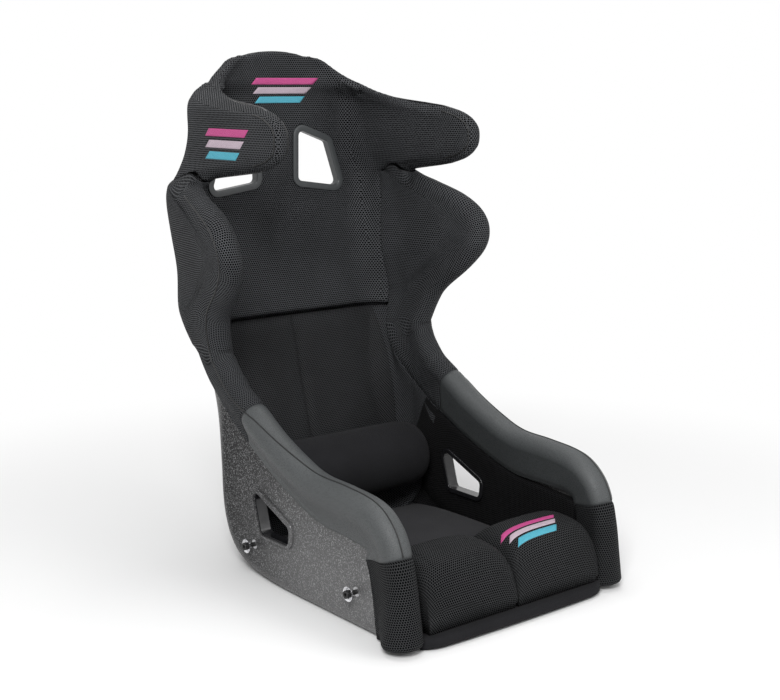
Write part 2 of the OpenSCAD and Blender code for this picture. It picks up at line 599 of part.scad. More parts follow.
module thigh_cushion() {
    color("#1e1e20") slab(
        [for (q = thigh_qs) [for (p = thigh_ps) thigh_point(p, q, false)]],
        [for (q = thigh_qs) [for (p = thigh_ps) thigh_point(p, q, true)]]
    );
}
// Height over the spine of a surface t inside the tub, at a given x, with room for the faceted corner under it
ARC_CLEAR = 6;
function floor_e(g, x, t) =
    let(r = corner_r(g, t), dx = min(max(abs(x) - (knee(g, t)[0] - r), 0), r - TINY))
    t * g[7] + r - sqrt(r * r - dx * dx) + ARC_CLEAR * min(dx / 12, 1);
back_half = 187 * sx;
cushion_t0 = lining_t + back_foam + TAPE_T + fit_gap;
back_us = concat([13.1, 13.2, 13.45, 14, 14.5, 15, 15.5, waist], [for (z = [402, 409, 414, 417]) rib_of_z(z)]);
back_end = len(back_us) - 1;
BACK_SEAM = 0.35;
function back_end_share(i) = round_over(min(i, back_end - i) + 0.35, 3.35);
function back_point(i, p, over) =
    let(
        g = rib(back_us[i]),
        x = back_half * p,
        e0 = floor_e(g, x, cushion_t0),
        full = (cushion_t0 + back_cushion_t * back_end_share(i) * (1 - BACK_SEAM * max(1 - abs(p) / 0.1, 0))) * g[7],
        e = mix(e0 + 5, max(full, e0 + 5), round_over(1 - abs(p), EDGE_ROUND))
    )
    in_rib(g, [x, over ? e : e0]);
module back_cushion() {
    color("#1c1c1e") slab(
        [for (i = [0:back_end]) [for (p = full_marks) back_point(i, p, false)]],
        [for (i = [0:back_end]) [for (p = full_marks) back_point(i, p, true)]]
    );
}
// Lumbar pillow: a roll with a flat back against the back cushion
lumbar_y = along(170);
lumbar_z = 147 * sz;
lumbar_half = half_hip - 35;
lumbar_marks = [[-1, 0.7], [-0.98, 0.83], [-0.93, 0.93], [-0.83, 0.985], [-0.6, 1], [-0.3, 1], [0, 1], [0.3, 1], [0.6, 1],
    [0.83, 0.985], [0.93, 0.93], [0.98, 0.83], [1, 0.7]];
LUMBAR_SIDES = 28;
// How far the pillow's section is drawn out towards its flat back
LUMBAR_REAR = 1.3;
LOW_U = 13;
HIGH_U = 14;
low_spine = [rib(LOW_U)[2], rib(LOW_U)[3]];
spine_way = unit([rib(HIGH_U)[2], rib(HIGH_U)[3]] - low_spine);
spine_out = [-spine_way[1], spine_way[0]];
// Distance from the spine that the pillow's back keeps, by x
function lumbar_back(x) =
    let(g = rib(LOW_U), t = lining_t + hip_foam + 2)
    max(cushion_t0 + back_cushion_t, floor_e(g, x, t) / g[7] + fit_gap) + 2 * fit_gap;
function pushed_out(p, d) =
    let(h = (p - low_spine) * spine_out) h >= d ? p : p + spine_out * (d - h);
function lumbar_ring(x, s) =
    [for (k = [0:LUMBAR_SIDES - 1])
        let(
            a = 360 * k / LUMBAR_SIDES,
            c = [lumbar_y, lumbar_z] + [cos(a) * (cos(a) > 0 ? LUMBAR_REAR : 1), sin(a)] * s * lumbar_d / 2,
            q = pushed_out(c, lumbar_back(x))
        )
        [x, q[0], q[1]]];
module lumbar_pillow() {
    color("#151517") loft([for (m = lumbar_marks) lumbar_ring(lumbar_half * m[0], m[1])]);
}

// ---- Left and right pieces ----
module mount_insert_left() { mirror([1, 0, 0]) mount_insert(); }
module mount_insert_right() { mount_insert(); }
module shoulder_bezel_left() { mirror([1, 0, 0]) shoulder_bezel(); }
module shoulder_bezel_right() { shoulder_bezel(); }
module lap_bezel_left() { mirror([1, 0, 0]) lap_bezel(); }
module lap_bezel_right() { lap_bezel(); }
module side_liner_left() { mirror([1, 0, 0]) side_liner(); }
module side_liner_right() { side_liner(); }
module front_post_left() { mirror([1, 0, 0]) front_post(); }
module front_post_right() { front_post(); }
module thigh_bolster_left() { mirror([1, 0, 0]) thigh_bolster(); }
module thigh_bolster_right() { thigh_bolster(); }
module shoulder_bolster_left() { mirror([1, 0, 0]) shoulder_bolster(); }
module shoulder_bolster_right() { shoulder_bolster(); }
module head_wing_left() { mirror([1, 0, 0]) head_wing(); }
module head_wing_right() { head_wing(); }
module thigh_cushion_left() { mirror([1, 0, 0]) thigh_cushion(); }
module thigh_cushion_right() { thigh_cushion(); }

shell();
mount_insert_left();
mount_insert_right();
side_bolts();
cup_washers();
shoulder_bezel_left();
shoulder_bezel_right();
lap_bezel_left();
lap_bezel_right();
pan_foam();
front_lip_pad();
side_liner_left();
side_liner_right();
lower_back_pad();
upper_back_pad();
head_pad();
front_post_left();
front_post_right();
thigh_bolster_left();
thigh_bolster_right();
shoulder_bolster_left();
shoulder_bolster_right();
head_wing_left();
head_wing_right();
seat_tape();
back_tape();
base_cushion();
thigh_cushion_left();
thigh_cushion_right();
back_cushion();
lumbar_pillow();
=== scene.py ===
# %% [markdown]
# # A fixed-back racing seat
# A racing seat is a moulded tub with glued foam padding, a rolled edge that wraps the rim, and loose
# cushions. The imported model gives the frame, and every piece made here lies where its plain solid lies. The
# pieces are closed skins drawn from the seat's own ribs, because upholstery follows the tub it is glued to.
# Sizes are in millimetres until a mesh is made, and in metres from there on.

# %% The frame
import bmesh
import bpy
import math
import numpy as np
from collections import namedtuple
from functools import lru_cache
from mathutils import Matrix, Vector
from mathutils.bvhtree import BVHTree


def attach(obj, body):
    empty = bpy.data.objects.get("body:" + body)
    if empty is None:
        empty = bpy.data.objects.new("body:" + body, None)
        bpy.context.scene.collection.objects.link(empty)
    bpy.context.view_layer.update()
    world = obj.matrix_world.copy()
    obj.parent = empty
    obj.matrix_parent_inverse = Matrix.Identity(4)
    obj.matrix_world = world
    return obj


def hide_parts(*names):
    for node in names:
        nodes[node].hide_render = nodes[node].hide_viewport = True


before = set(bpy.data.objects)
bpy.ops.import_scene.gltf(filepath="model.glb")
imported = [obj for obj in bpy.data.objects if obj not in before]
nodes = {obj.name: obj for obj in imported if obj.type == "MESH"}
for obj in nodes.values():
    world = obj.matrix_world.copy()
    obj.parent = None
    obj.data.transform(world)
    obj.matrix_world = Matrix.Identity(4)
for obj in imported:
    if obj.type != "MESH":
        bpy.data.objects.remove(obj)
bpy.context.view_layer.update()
print("carried over", len(nodes), "nodes")

# %% [markdown]
# ## Smooth curves
# A rim that is drawn is a list of places with a smooth curve through them.
# Hermite pieces pass through every place and keep one slope at each, so no kink shows in the gloss.

# %% Curves through set places
# A table is a list of (place, value) rows in rising order of place.
def slope_at(tab, i):
    a, b = max(i - 1, 0), min(i + 1, len(tab) - 1)
    return (tab[b][1] - tab[a][1]) / (tab[b][0] - tab[a][0])

def curve(tab, t):
    i = 0
    while i < len(tab) - 2 and t >= tab[i + 1][0]:
        i += 1
    h = tab[i + 1][0] - tab[i][0]
    s = min(max((t - tab[i][0]) / h, 0), 1)
    return (tab[i][1] * (1 + 2 * s) * (1 - s) ** 2 + tab[i + 1][1] * s * s * (3 - 2 * s)
            + h * (slope_at(tab, i) * s * (1 - s) ** 2 - slope_at(tab, i + 1) * s * s * (1 - s)))

def mix(a, b, s):
    return a + (b - a) * s

def ease(s):
    s = min(max(s, 0), 1)
    return s * s * (3 - 2 * s)

def round_over(d, r):
    return 1.0 if d >= r else math.sqrt(max(1 - (1 - max(d, 0) / r) ** 2, 0))

def spread(a, b, step):
    count = max(int(math.ceil(abs(b - a) / step)), 1)
    return [mix(a, b, i / count) for i in range(count + 1)]

print("curve test", round(curve([[0, 0], [1, 2], [2, 3]], 1), 3))

# %% [markdown]
# ## The ribs of the tub
# A boat builder lofts a hull from ribs, and this tub is lofted the same way.
# Each rib gives the rim, the spine, the corner between floor and wall, and the width there.

# %% Driving sizes
# Ribs 0 to 16 run from the front of the seat to the waist, and from there one rib is 10 mm of height.
WAIST = 16
WAIST_Z = 392
RIB_STEP = 10
TOP_Z = 908
HALF_HIP = 225
SHELL_T = 5
GAP = 0.3
LINING = SHELL_T + GAP
print("seat height", TOP_Z, "hip width", 2 * HALF_HIP)

# %% Rib tables
# Each lower rib: rim y, rim z, spine y, spine z, corner size in units of 20 mm, lean of the rim in degrees.
LOWER_RIBS = [
    (-295, 24, -300, 0, 1, 0), (-295, 70, -294.5, 0, 1, 0), (-293, 112, -292, 0, 1, -4),
    (-285, 146, -284, 0, 1, -16), (-266, 178, -266, 0, 1, -42), (-230, 200, -232, 0, 1, -72),
    (-165, 207, -170, 0, 1, -91), (-90, 211, -95, 0, 1, -90), (-25, 231, -20, 0, 1, -89),
    (35, 257, 60, 0, 1.2, -86), (79, 282, 142, 0, 2.2, -80), (104, 296, 200, 3, 4, -73),
    (126, 308, 238, 32, 5.6, -67), (146, 320, 260, 108, 6.6, -61), (166, 338, 284, 200, 6.9, -49),
    (187, 362, 309, 290, 6.5, -31), (203, 392, 334, 392, 5.5, 0)]
LOW_RIM_Y, LOW_RIM_Z, LOW_SPINE_Y, LOW_SPINE_Z, LOW_CORNER, LEAN = (
    [(i, row[c]) for i, row in enumerate(LOWER_RIBS)] for c in range(6))
# Above the waist each table runs over the height: spine, corner of floor and wall, its radius, and the rim.
SPINE_Y = [(392, 334), (424, 341), (458, 347), (500, 351), (560, 357), (600, 360), (640, 362), (700, 364),
           (760, 364), (845, 372), (908, 370)]
KNEE_X = [(392, 232), (425, 248), (458, 255), (532, 241), (640, 248), (685, 244), (725, 222), (760, 209),
          (813, 200), (829, 184), (845, 163), (869, 129), (889, 101), (908, 58)]
KNEE_R = [(392, 110), (500, 104), (600, 96), (675, 87), (760, 76), (813, 66), (829, 58), (869, 36), (908, 14)]
RIM_X = [(392, 230), (484, 254), (560, 275), (600, 279), (640, 273), (672, 254), (690, 222), (705, 210),
         (760, 212), (805, 204), (829, 179), (845, 158), (869, 124), (889, 96), (908, 52)]
RIM_Y = [(392, 204), (430, 193), (458, 178), (505, 125), (545, 95), (585, 94), (618, 114), (645, 156),
         (668, 218), (682, 244), (691, 200), (700, 126), (709, 76), (729, 42), (757, 35), (780, 40),
         (798, 62), (811, 105), (820, 190), (832, 262), (850, 312), (875, 334), (908, 346)]
print(len(LOWER_RIBS), "lower ribs")

# %% One rib
# The tables measure y from a mark that lies 19 mm in front of the frame's zero.
MARK_Y = 19
Rib = namedtuple("Rib", "rim_y rim_z spine_y spine_z knee_x bend_r rim_x slant depth", defaults=(1, 0))

def along(y):
    return y - MARK_Y

def rib_of_z(z):
    return WAIST + (z - WAIST_Z) * 0.1

def z_of_rib(u):
    return WAIST_Z + (u - WAIST) * RIB_STEP

def bare_rib(u):
    if u > WAIST:
        z = z_of_rib(u)
        return Rib(along(curve(RIM_Y, z)), z, along(curve(SPINE_Y, z)), z,
                   curve(KNEE_X, z), curve(KNEE_R, z), curve(RIM_X, z))
    m = min(max((u - WAIST) / 3 + 1, 0), 1)
    return Rib(along(curve(LOW_RIM_Y, u)), curve(LOW_RIM_Z, u),
               along(curve(LOW_SPINE_Y, u)), max(curve(LOW_SPINE_Z, u), 0),
               HALF_HIP + 7 * m * m, 20 * curve(LOW_CORNER, u), HALF_HIP + 5 * m * m)

def unit(p):
    n = math.hypot(*p)
    return (p[0] / n, p[1] / n)

@lru_cache(maxsize=None)
def rib(u):
    """The rib at u, with its depth and how much thicker a wall measures along its slant."""
    g, before, after = bare_rib(u), bare_rib(u - 0.25), bare_rib(u + 0.25)
    way = unit((after.spine_y - before.spine_y, after.spine_z - before.spine_z))
    rise = (g.rim_y - g.spine_y, g.rim_z - g.spine_z)
    up = unit(rise)
    return g._replace(slant=1 / max(-up[0] * way[1] + up[1] * way[0], 0.6), depth=math.hypot(*rise))

print("rib at the waist", [round(c) for c in rib(WAIST)[:7]])

# %% From a rib to points in space
# A point of the tub has a rib u, a share v of the way from the spine (0) to either rim (-1 or 1), and a
# depth t inside the outer face. The floor ends at CORNER_START, the corner at CORNER_END, and the rest is
# the wall.

def in_rib(g, p):
    return (p[0], g.spine_y + (g.rim_y - g.spine_y) / g.depth * p[1],
            g.spine_z + (g.rim_z - g.spine_z) / g.depth * p[1])

def corner_r(g, t):
    return max(min(g.bend_r - t, g.depth - t - 2), 2)

def wall_way(g):
    return unit((g.rim_x - g.knee_x, g.depth))

def wall_start(g, t):
    w, r = wall_way(g), corner_r(g, t)
    return (g.knee_x - t + w[0] * r, t * g.slant + w[1] * r)

CORNER_START, CORNER_END = 0.42, 0.70
CORNER_PULL = 1.4142

def flat_point(g, v, t):
    """A point in the rib's own plane: how far out it is, and how far up from the spine."""
    a, r, k = abs(v), corner_r(g, t), (g.knee_x - t, t * g.slant)
    q, w = (k[0] - r, k[1]), wall_start(g, t)
    if a < CORNER_START:
        return (q[0] * a / CORNER_START, k[1])
    if a < CORNER_END:
        s = (a - CORNER_START) / (CORNER_END - CORNER_START)
        n = (1 - s) ** 2 + CORNER_PULL * s * (1 - s) + s * s
        return tuple((start * (1 - s) ** 2 + pull * CORNER_PULL * s * (1 - s) + end * s * s) / n
                     for start, pull, end in zip(q, k, w))
    s = (a - CORNER_END) / (1 - CORNER_END)
    return (mix(w[0], g.rim_x - t, s), mix(w[1], g.depth, s))

def skin_point(g, v, t):
    p = flat_point(g, v, t)
    return in_rib(g, (math.copysign(p[0], v), p[1]))

def wall_length(g):
    w = wall_start(g, 0)
    return math.hypot(g.rim_x - w[0], g.depth - w[1])

def v_at_depth(g, depth):
    wall = wall_length(g)
    if depth < wall:
        return 1 - (1 - CORNER_END) * depth / wall
    return CORNER_END - (CORNER_END - CORNER_START) * min((depth - wall) / (1.5 * corner_r(g, 0)), 1)

print("rim point at the waist", [round(c) for c in skin_point(rib(WAIST), 1, 0)])

# %% [markdown]
# ## Skins
# Every pad is one closed skin of squares. A roll is a row of rings with a fan at each end, and a slab has
# an under side and an upper side of the same grid, joined along their border. A flat map of the cloth, in
# metres, is kept with it, so that a weave keeps its real pitch where the pad bends.

# %% The flat map of the cloth
def cloth_map(rows, closed):
    """How far up each row lies, and how far across each point lies in its row, measured along the skin."""
    pts = np.array(rows)
    lengthwise = np.linalg.norm(np.diff(pts, axis=0), axis=2).mean(axis=1)
    ups = np.concatenate([[0], np.cumsum(lengthwise)])
    wide = np.linalg.norm(np.diff(pts, axis=1), axis=2)
    across = np.concatenate([np.zeros((len(pts), 1)), np.cumsum(wide, axis=1)], axis=1)
    if not closed:
        across -= across[:, [across.shape[1] // 2]]
    return ups, across

print("flat map of one square", cloth_map([[(0, 0, 0), (2, 0, 0)], [(0, 2, 0), (2, 2, 0)]], True)[0])

# %% From points to a mesh
def shade_smooth(mesh):
    for polygon in mesh.polygons:
        polygon.use_smooth = True

def outward(piece):
    mesh = bmesh.new()
    mesh.from_mesh(piece.data)
    bmesh.ops.recalc_face_normals(mesh, faces=mesh.faces)
    mesh.to_mesh(piece.data)
    mesh.free()
    return piece

def finish_mesh(name, points, faces, uvs=None):
    mesh = bpy.data.meshes.new(name)
    mesh.from_pydata([(p[0] / 1000, p[1] / 1000, p[2] / 1000) for p in points], [], faces)
    if uvs is not None:
        layer = mesh.uv_layers.new(name="cloth")
        layer.data.foreach_set("uv", [c for f in uvs for p in f for c in p])
    mesh.validate()
    piece = bpy.data.objects.new(name, mesh)
    bpy.context.scene.collection.objects.link(piece)
    shade_smooth(mesh)
    return piece

print("meshes so far", len(bpy.data.meshes))

# %% A skin of rings
CLOSING_STEP = 2

def ring_skin(name, rings):
    """Rings joined in their order, the first and the last closed by a fan."""
    ups, across = cloth_map(rings, True)
    rows, cols = len(rings), len(rings[0])
    points = [p for ring in rings for p in ring]
    faces, uvs = [], []
    for i in range(rows - 1):
        for j in range(cols):
            k = (j + 1) % cols
            faces.append((i * cols + j, i * cols + k, (i + 1) * cols + k, (i + 1) * cols + j))
            last, last_up = [(across[n][j] + CLOSING_STEP if k == 0 else across[n][k]) for n in (i, i + 1)]
            uvs.append([(across[i][j] / 1000, ups[i] / 1000), (last / 1000, ups[i] / 1000),
                        (last_up / 1000, ups[i + 1] / 1000), (across[i + 1][j] / 1000, ups[i + 1] / 1000)])
    for i, order in ((0, -1), (rows - 1, 1)):
        middle = len(points)
        points.append(tuple(np.mean(rings[i], axis=0)))
        for j in range(cols):
            a, b = i * cols + j, i * cols + (j + 1) % cols
            faces.append((a, b, middle) if order > 0 else (b, a, middle))
            uvs.append([(0, 0), (0.001, 0), (0, 0.001)])
    return finish_mesh(name, points, faces, uvs)

print("ring skins close on themselves after", CLOSING_STEP, "mm of cloth")

# %% A skin of two sides
def slab_skin(name, under, over):
    """An under side and an upper side of one grid, with a narrow band of cloth round their border."""
    rows, cols = len(over), len(over[0])
    ups, across = cloth_map(over, False)
    n = rows * cols
    points = [p for row in under for p in row] + [p for row in over for p in row]
    faces, uvs = [], []
    def at(i, j):
        return (across[i][j] / 1000, ups[i] / 1000)
    for i in range(rows - 1):
        for j in range(cols - 1):
            a = i * cols + j
            here = [(i, j), (i, j + 1), (i + 1, j + 1), (i + 1, j)]
            quad = (a, a + 1, a + cols + 1, a + cols)
            faces.append(tuple(reversed(quad)))
            uvs.append([at(*h) for h in reversed(here)])
            faces.append(tuple(n + q for q in quad))
            uvs.append([at(*h) for h in here])
    rim = [j for j in range(cols)] + [i * cols + cols - 1 for i in range(1, rows)]
    rim += [(rows - 1) * cols + j for j in range(cols - 2, -1, -1)] + [i * cols for i in range(rows - 2, 0, -1)]
    for k, a in enumerate(rim):
        b = rim[(k + 1) % len(rim)]
        faces.append((a, b, n + b, n + a))
        ua, ub = at(a // cols, a % cols), at(b // cols, b % cols)
        drop = float(np.linalg.norm(np.subtract(points[a], points[n + a]))) / 1000
        lengthwise = a // cols == b // cols
        way = -drop if (a // cols == 0 if lengthwise else a % cols == 0) else drop
        down = (0, way) if lengthwise else (way, 0)
        uvs.append([(ua[0] + down[0], ua[1] + down[1]), (ub[0] + down[0], ub[1] + down[1]), ub, ua])
    return finish_mesh(name, points, faces, uvs)

print("helpers for skins ready")

# %% Cutting and joining
def settle(piece):
    """Replaces the mesh by what its modifiers make of it."""
    graph = bpy.context.evaluated_depsgraph_get()
    mesh = bpy.data.meshes.new_from_object(piece.evaluated_get(graph))
    piece.modifiers.clear()
    piece.data = mesh
    return piece

def boolean(piece, tool, operation):
    change = piece.modifiers.new("boolean", "BOOLEAN")
    change.operation, change.solver, change.object = operation, "EXACT", tool

def clear_away(*tools):
    for tool in tools:
        bpy.data.objects.remove(tool)

def cut(piece, *tools):
    for tool in tools:
        boolean(piece, tool, "DIFFERENCE")
    settle(piece)
    clear_away(*tools)

print("cutting helpers ready")

# %% Outlines with round corners
def turning_area(pts):
    return sum(a[0] * b[1] - b[0] * a[1] for a, b in zip(pts, pts[1:] + pts[:1]))

def rounded_outline(corners, radius, grow):
    pts = [np.array(c, float) for c in corners]
    if turning_area(pts) < 0:
        pts.reverse()
    inner = []
    for i, p in enumerate(pts):
        a, b = p - pts[i - 1], pts[(i + 1) % len(pts)] - p
        na = np.array([-a[1], a[0]]) / np.linalg.norm(a)
        nb = np.array([-b[1], b[0]]) / np.linalg.norm(b)
        inner.append((p + (na + nb) * radius / (1 + na @ nb), -na, -nb))
    ring = []
    for c, na, nb in inner:
        a0, a1 = math.atan2(na[1], na[0]), math.atan2(nb[1], nb[0])
        while a1 < a0:
            a1 += 2 * math.pi
        for k in range(9):
            a = mix(a0, a1, k / 8)
            ring.append((c[0] + math.cos(a) * (radius + grow), c[1] + math.sin(a) * (radius + grow)))
    return ring

def prism(name, corners, axis, low, high, grow, radius):
    ring = rounded_outline(corners, radius, grow)
    points = []
    for level in (low, high):
        for a, b in ring:
            points.append((level, a, b) if axis == "x" else (a, level, b))
    m = len(ring)
    faces = [tuple(range(m)), tuple(range(2 * m - 1, m - 1, -1))]
    faces += [(j, (j + 1) % m, m + (j + 1) % m, m + j) for j in range(m)]
    return outward(finish_mesh(name, points, faces))

print("points on a rounded square", len(rounded_outline([(0, 0), (9, 0), (9, 9), (0, 9)], 2, 0)))

# %% [markdown]
# ## The openings
# Harness straps pass through the back at shoulder height and through the hip panels at the lap.
# A cutter in the opening's shape makes the hole in the tub and in the padding, so that both always line up.

# %% Opening outlines
SHOULDER = [(37, 781), (126, 748), (163, 639), (35, 657)]
LAP = [(along(104), 163), (along(82), 90), (along(0), 90), (along(-3), 119)]
SHOULDER_FACE = along(344.5)
FLANGE, FLANGE_T, SLEEVE, CORNER = 12, 4, 2.5, 9

def inset(corners, d):
    pts = [np.array(c, float) for c in corners]
    sign = 1 if turning_area(pts) > 0 else -1
    out = []
    for i, p in enumerate(pts):
        a, b = p - pts[i - 1], pts[(i + 1) % len(pts)] - p
        na = sign * np.array([-a[1], a[0]]) / np.linalg.norm(a)
        nb = sign * np.array([-b[1], b[0]]) / np.linalg.norm(b)
        out.append(tuple(p + (na + nb) * d / (1 + na @ nb)))
    return out

SHOULDER_IN = inset(SHOULDER, FLANGE)

def mirrored(corners):
    return [(-a, b) for a, b in corners]

def shoulder_cutter(side, low, high, grow):
    corners = SHOULDER_IN if side > 0 else mirrored(SHOULDER_IN)
    return prism("shoulder_cutter", corners, "y", low, high, grow, CORNER)

def lap_cutter(side, low, high, grow):
    a, b = sorted((side * low, side * high))
    return prism("lap_cutter", LAP, "x", a, b, grow, CORNER)

print("shoulder opening", [tuple(round(float(c)) for c in p) for p in SHOULDER_IN])

# %% [markdown]
# ## The tub
# The tub is a glass-fibre shell laid up in a mould. It could be one subdivided cage, but a fine grid of rib
# points follows the tables exactly and shows no facets in its gloss. The slots are cut afterwards, as they
# are on the real one. The rim's edge stays square, because padding covers it.

# %% The moulded tub
TUB_TOP_Z = 885
EDGE_BACK = [(392, 0), (815, 0), (842, 18), (908, 18)]

def tub_edge_v(u):
    return 1 if u <= WAIST else v_at_depth(rib(u), curve(EDGE_BACK, z_of_rib(u)))

def drawn_in(v, lim):
    a = abs(v)
    if a <= CORNER_START:
        return v
    return math.copysign(mix(CORNER_START, lim, (a - CORNER_START) / (1 - CORNER_START)), v)

def both_ways(half):
    return [-v for v in reversed(half[1:])] + half

tub_vs = both_ways(spread(0, CORNER_START, 0.06) + spread(CORNER_START, CORNER_END, 0.0156)[1:]
                   + spread(CORNER_END, 1, 0.05)[1:])
tub_us = spread(0, 6, 0.25) + spread(6, WAIST, 0.125)[1:]
tub_us += [rib_of_z(z) for z in spread(WAIST_Z, TUB_TOP_Z, 5)][1:]

def tub_rows(t):
    rows = []
    for u in tub_us:
        g, lim = rib(u), tub_edge_v(u)
        rows.append([skin_point(g, drawn_in(v, lim), t) for v in tub_vs])
    return rows

tub = outward(slab_skin("tub", tub_rows(0), tub_rows(SHELL_T)))
print("bare tub", len(tub.data.polygons), "faces")

# %% The raised rim round each lap opening
RIM_IN, RIM_OUT, RIM_GROW = 3, 4, 9
rim_corners = [(a - 3, b + 2) for a, b in LAP]
for side in (1, -1):
    low, high = sorted((side * (HALF_HIP - RIM_IN), side * (HALF_HIP + RIM_OUT)))
    rim = prism("lap_rim", rim_corners, "x", low, high, RIM_GROW, CORNER)
    bevel = rim.modifiers.new("soft", "BEVEL")
    bevel.width, bevel.segments, bevel.limit_method = 0.002, 4, "ANGLE"
    boolean(tub, rim, "UNION")
    settle(tub)
    clear_away(rim)
print("lap rims stand", RIM_OUT, "mm proud")

# %% Holes in the tub
BOLT_YS, BOLT_Z, COLLAR_R = (86, -204), 64, 8.3
SIDE_CUT = (165, 285)
SLOT_Y, SLOT_HALF, SLOT_R = along(-120), 33, 12
CIRCLE = [(math.cos(2 * math.pi * k / 40), math.sin(2 * math.pi * k / 40)) for k in range(40)]

def collar_cutter(side, y):
    ends = [[(side * x, y + COLLAR_R * c, BOLT_Z + COLLAR_R * s) for c, s in CIRCLE] for x in SIDE_CUT]
    return outward(ring_skin("collar_cutter", ends))

def crotch_cutter(low, high):
    slot = [(SLOT_HALF * np.sign(c) + SLOT_R * c, SLOT_Y + SLOT_R * s) for c, s in CIRCLE]
    return outward(ring_skin("crotch_cutter", [[(x, y, z) for x, y in slot] for z in (low, high)]))

tools = []
for side in (1, -1):
    tools += [shoulder_cutter(side, 270, 420, SLEEVE + GAP), lap_cutter(side, *SIDE_CUT, SLEEVE + GAP)]
tools += [collar_cutter(side, y) for y in BOLT_YS for side in (1, -1)]
tools.append(crotch_cutter(-60, SHELL_T + 0.5))
cut(tub, *tools)
shade_smooth(tub.data)
tub.data.set_sharp_from_angle(angle=math.radians(35))
print("tub", len(tub.data.polygons), "faces")

# %% [markdown]
# ## Rolled edges
# Along the rim the foam folds over the tub's edge like pipe lagging. A curve with a bevel could stand for
# it, but the foam's width changes all the way, so a section is swept instead: inner flank, rounded nose,
# outer flank. The nose turns in the plane square to the outline, so that it stays round even where the rim
# dips.

# %% Sizes of the roll and the padding
# Flank depths run over the ribs. NOSE and PAD tables are shares of ROLL_R and PAD, over the ribs or the height.
ROLL_R = 25
PAD = 36
HIP_FOAM = 12
ROLL_IN = [(-1, 44), (0, 50), (3, 48), (4, 46), (6, 52), (10, 60), (12, 62), (13, 64), (14.5, 64), (16, 70)]
ROLL_OUT = [(-1, 56), (0, 60), (2, 74), (3, 76), (4, 67), (5, 61), (6, 59), (8, 57), (10, 54), (12, 50),
            (14, 48), (16, 52)]
NOSE_HIP = [(-1, 1.34), (-0.6, 1.36), (0, 1.3), (1, 1.1), (2.5, 0.92), (5, 1), (16, 0.96)]
NOSE_TOP = [(392, 0.96), (640, 0.96), (672, 0.84), (710, 0.8), (908, 0.8)]
CENTRE_PAD = [(392, 1.05), (424, 1.05), (458, 1), (500, 0.83), (560, 0.67), (600, 0.53), (640, 0.33),
              (700, 0.25), (760, 0.27), (845, 0.53), (908, 0.44)]
SEAM_PAD = [(392, 0.85), (500, 0.9), (600, 0.95), (682, 0.8), (760, 0.66), (826, 0.6), (908, 0.44)]
PAD_START = 13
print("thickest padding", round(PAD * max(share for _, share in CENTRE_PAD)), "mm")

# %% Depths and thicknesses along the rim
def corner_depth(u, share):
    g = rib(u)
    return wall_length(g) + share * corner_r(g, 0)

@lru_cache(maxsize=None)
def in_depth(u):
    return curve(ROLL_IN, u) if u <= WAIST else max(corner_depth(u, 0.45), 55)

@lru_cache(maxsize=None)
def out_depth(u):
    return curve(ROLL_OUT, u) if u <= WAIST else max(corner_depth(u, 0.5), 48)

def pad_by(tab, u):
    return PAD * curve(tab, z_of_rib(max(u, WAIST)))

def seam_pad(u):
    if u <= PAD_START:
        return HIP_FOAM
    return mix(HIP_FOAM, pad_by(SEAM_PAD, u), min((u - PAD_START) / (WAIST - PAD_START), 1))

def pad_at(u, v, last):
    return mix(pad_by(CENTRE_PAD, u), seam_pad(u), ease((abs(v) - CORNER_START) / (last - CORNER_START)))

def nose_r(u):
    return ROLL_R * (curve(NOSE_HIP, u) if u <= WAIST else curve(NOSE_TOP, z_of_rib(u)))

print("nose radius at the waist", round(nose_r(WAIST), 1))

# %% Points of the roll
POST_RIBS = 6
FOOT_STEP = 22

def roll_point(u, s, t):
    """A point s down the wall from the rim and t inside the tub's outer face. The posts are drawn flat."""
    g = rib(max(u, 0))
    if u < POST_RIBS:
        a, foot = math.radians(curve(LEAN, u)), min(u, 0) * FOOT_STEP
        return (HALF_HIP - t, g.rim_y + math.cos(a) * s, g.rim_z + foot + math.sin(a) * s)
    return in_rib(g, flat_point(g, v_at_depth(g, s), t))

@lru_cache(maxsize=None)
def outline(u):
    p = roll_point(u, -nose_r(max(u, -1)), SHELL_T / 2)
    return (p[1], p[2])

@lru_cache(maxsize=None)
def inward(u, low, high):
    a, b = outline(max(u - 0.06, low)), outline(min(u + 0.06, high))
    t = unit((b[0] - a[0], b[1] - a[1]))
    return (t[1], -t[0])

def wall_x(y, z, t):
    """How far out the tub's wall lies at that place, t inside its outer face."""
    g = rib(round(rib_of_z(z), 2))
    e = (y - g.spine_y) / (g.rim_y - g.spine_y) * g.depth
    w = wall_start(g, t)
    if e >= w[1]:
        return w[0] + (g.rim_x - t - w[0]) * (e - w[1]) / max(g.depth - w[1], 1)
    a, b = CORNER_START, CORNER_END
    for _ in range(14):
        v = (a + b) / 2
        a, b = (v, b) if flat_point(g, v, t)[1] < e else (a, v)
    return flat_point(g, b, t)[0]

print("wall at the waist", round(wall_x(along(250), WAIST_Z, 0)), "mm out")

# %% Turning the nose
def turned(u, s, t, low, high, depth):
    """A point of the roll, with its nose turned square to the outline and its flank left on the rib."""
    p = roll_point(u, s, t)
    r = nose_r(max(u, -1))
    share = 1 - ease(s / min(3 * r, 0.8 * depth))
    if share <= 0:
        return p
    o, n = outline(u), inward(u, low, high)
    y, z = mix(p[1], o[0] + n[0] * (s + r), share), mix(p[2], o[1] + n[1] * (s + r), share)
    if u < WAIST + 0.5:
        return (p[0], y, z)
    return (mix(p[0], wall_x(y, z, t), ease((u - WAIST - 0.5) / 3)), y, z)

print("rim point turned", [round(c) for c in turned(8, 0, 0, 3, 10.8, in_depth(8))])

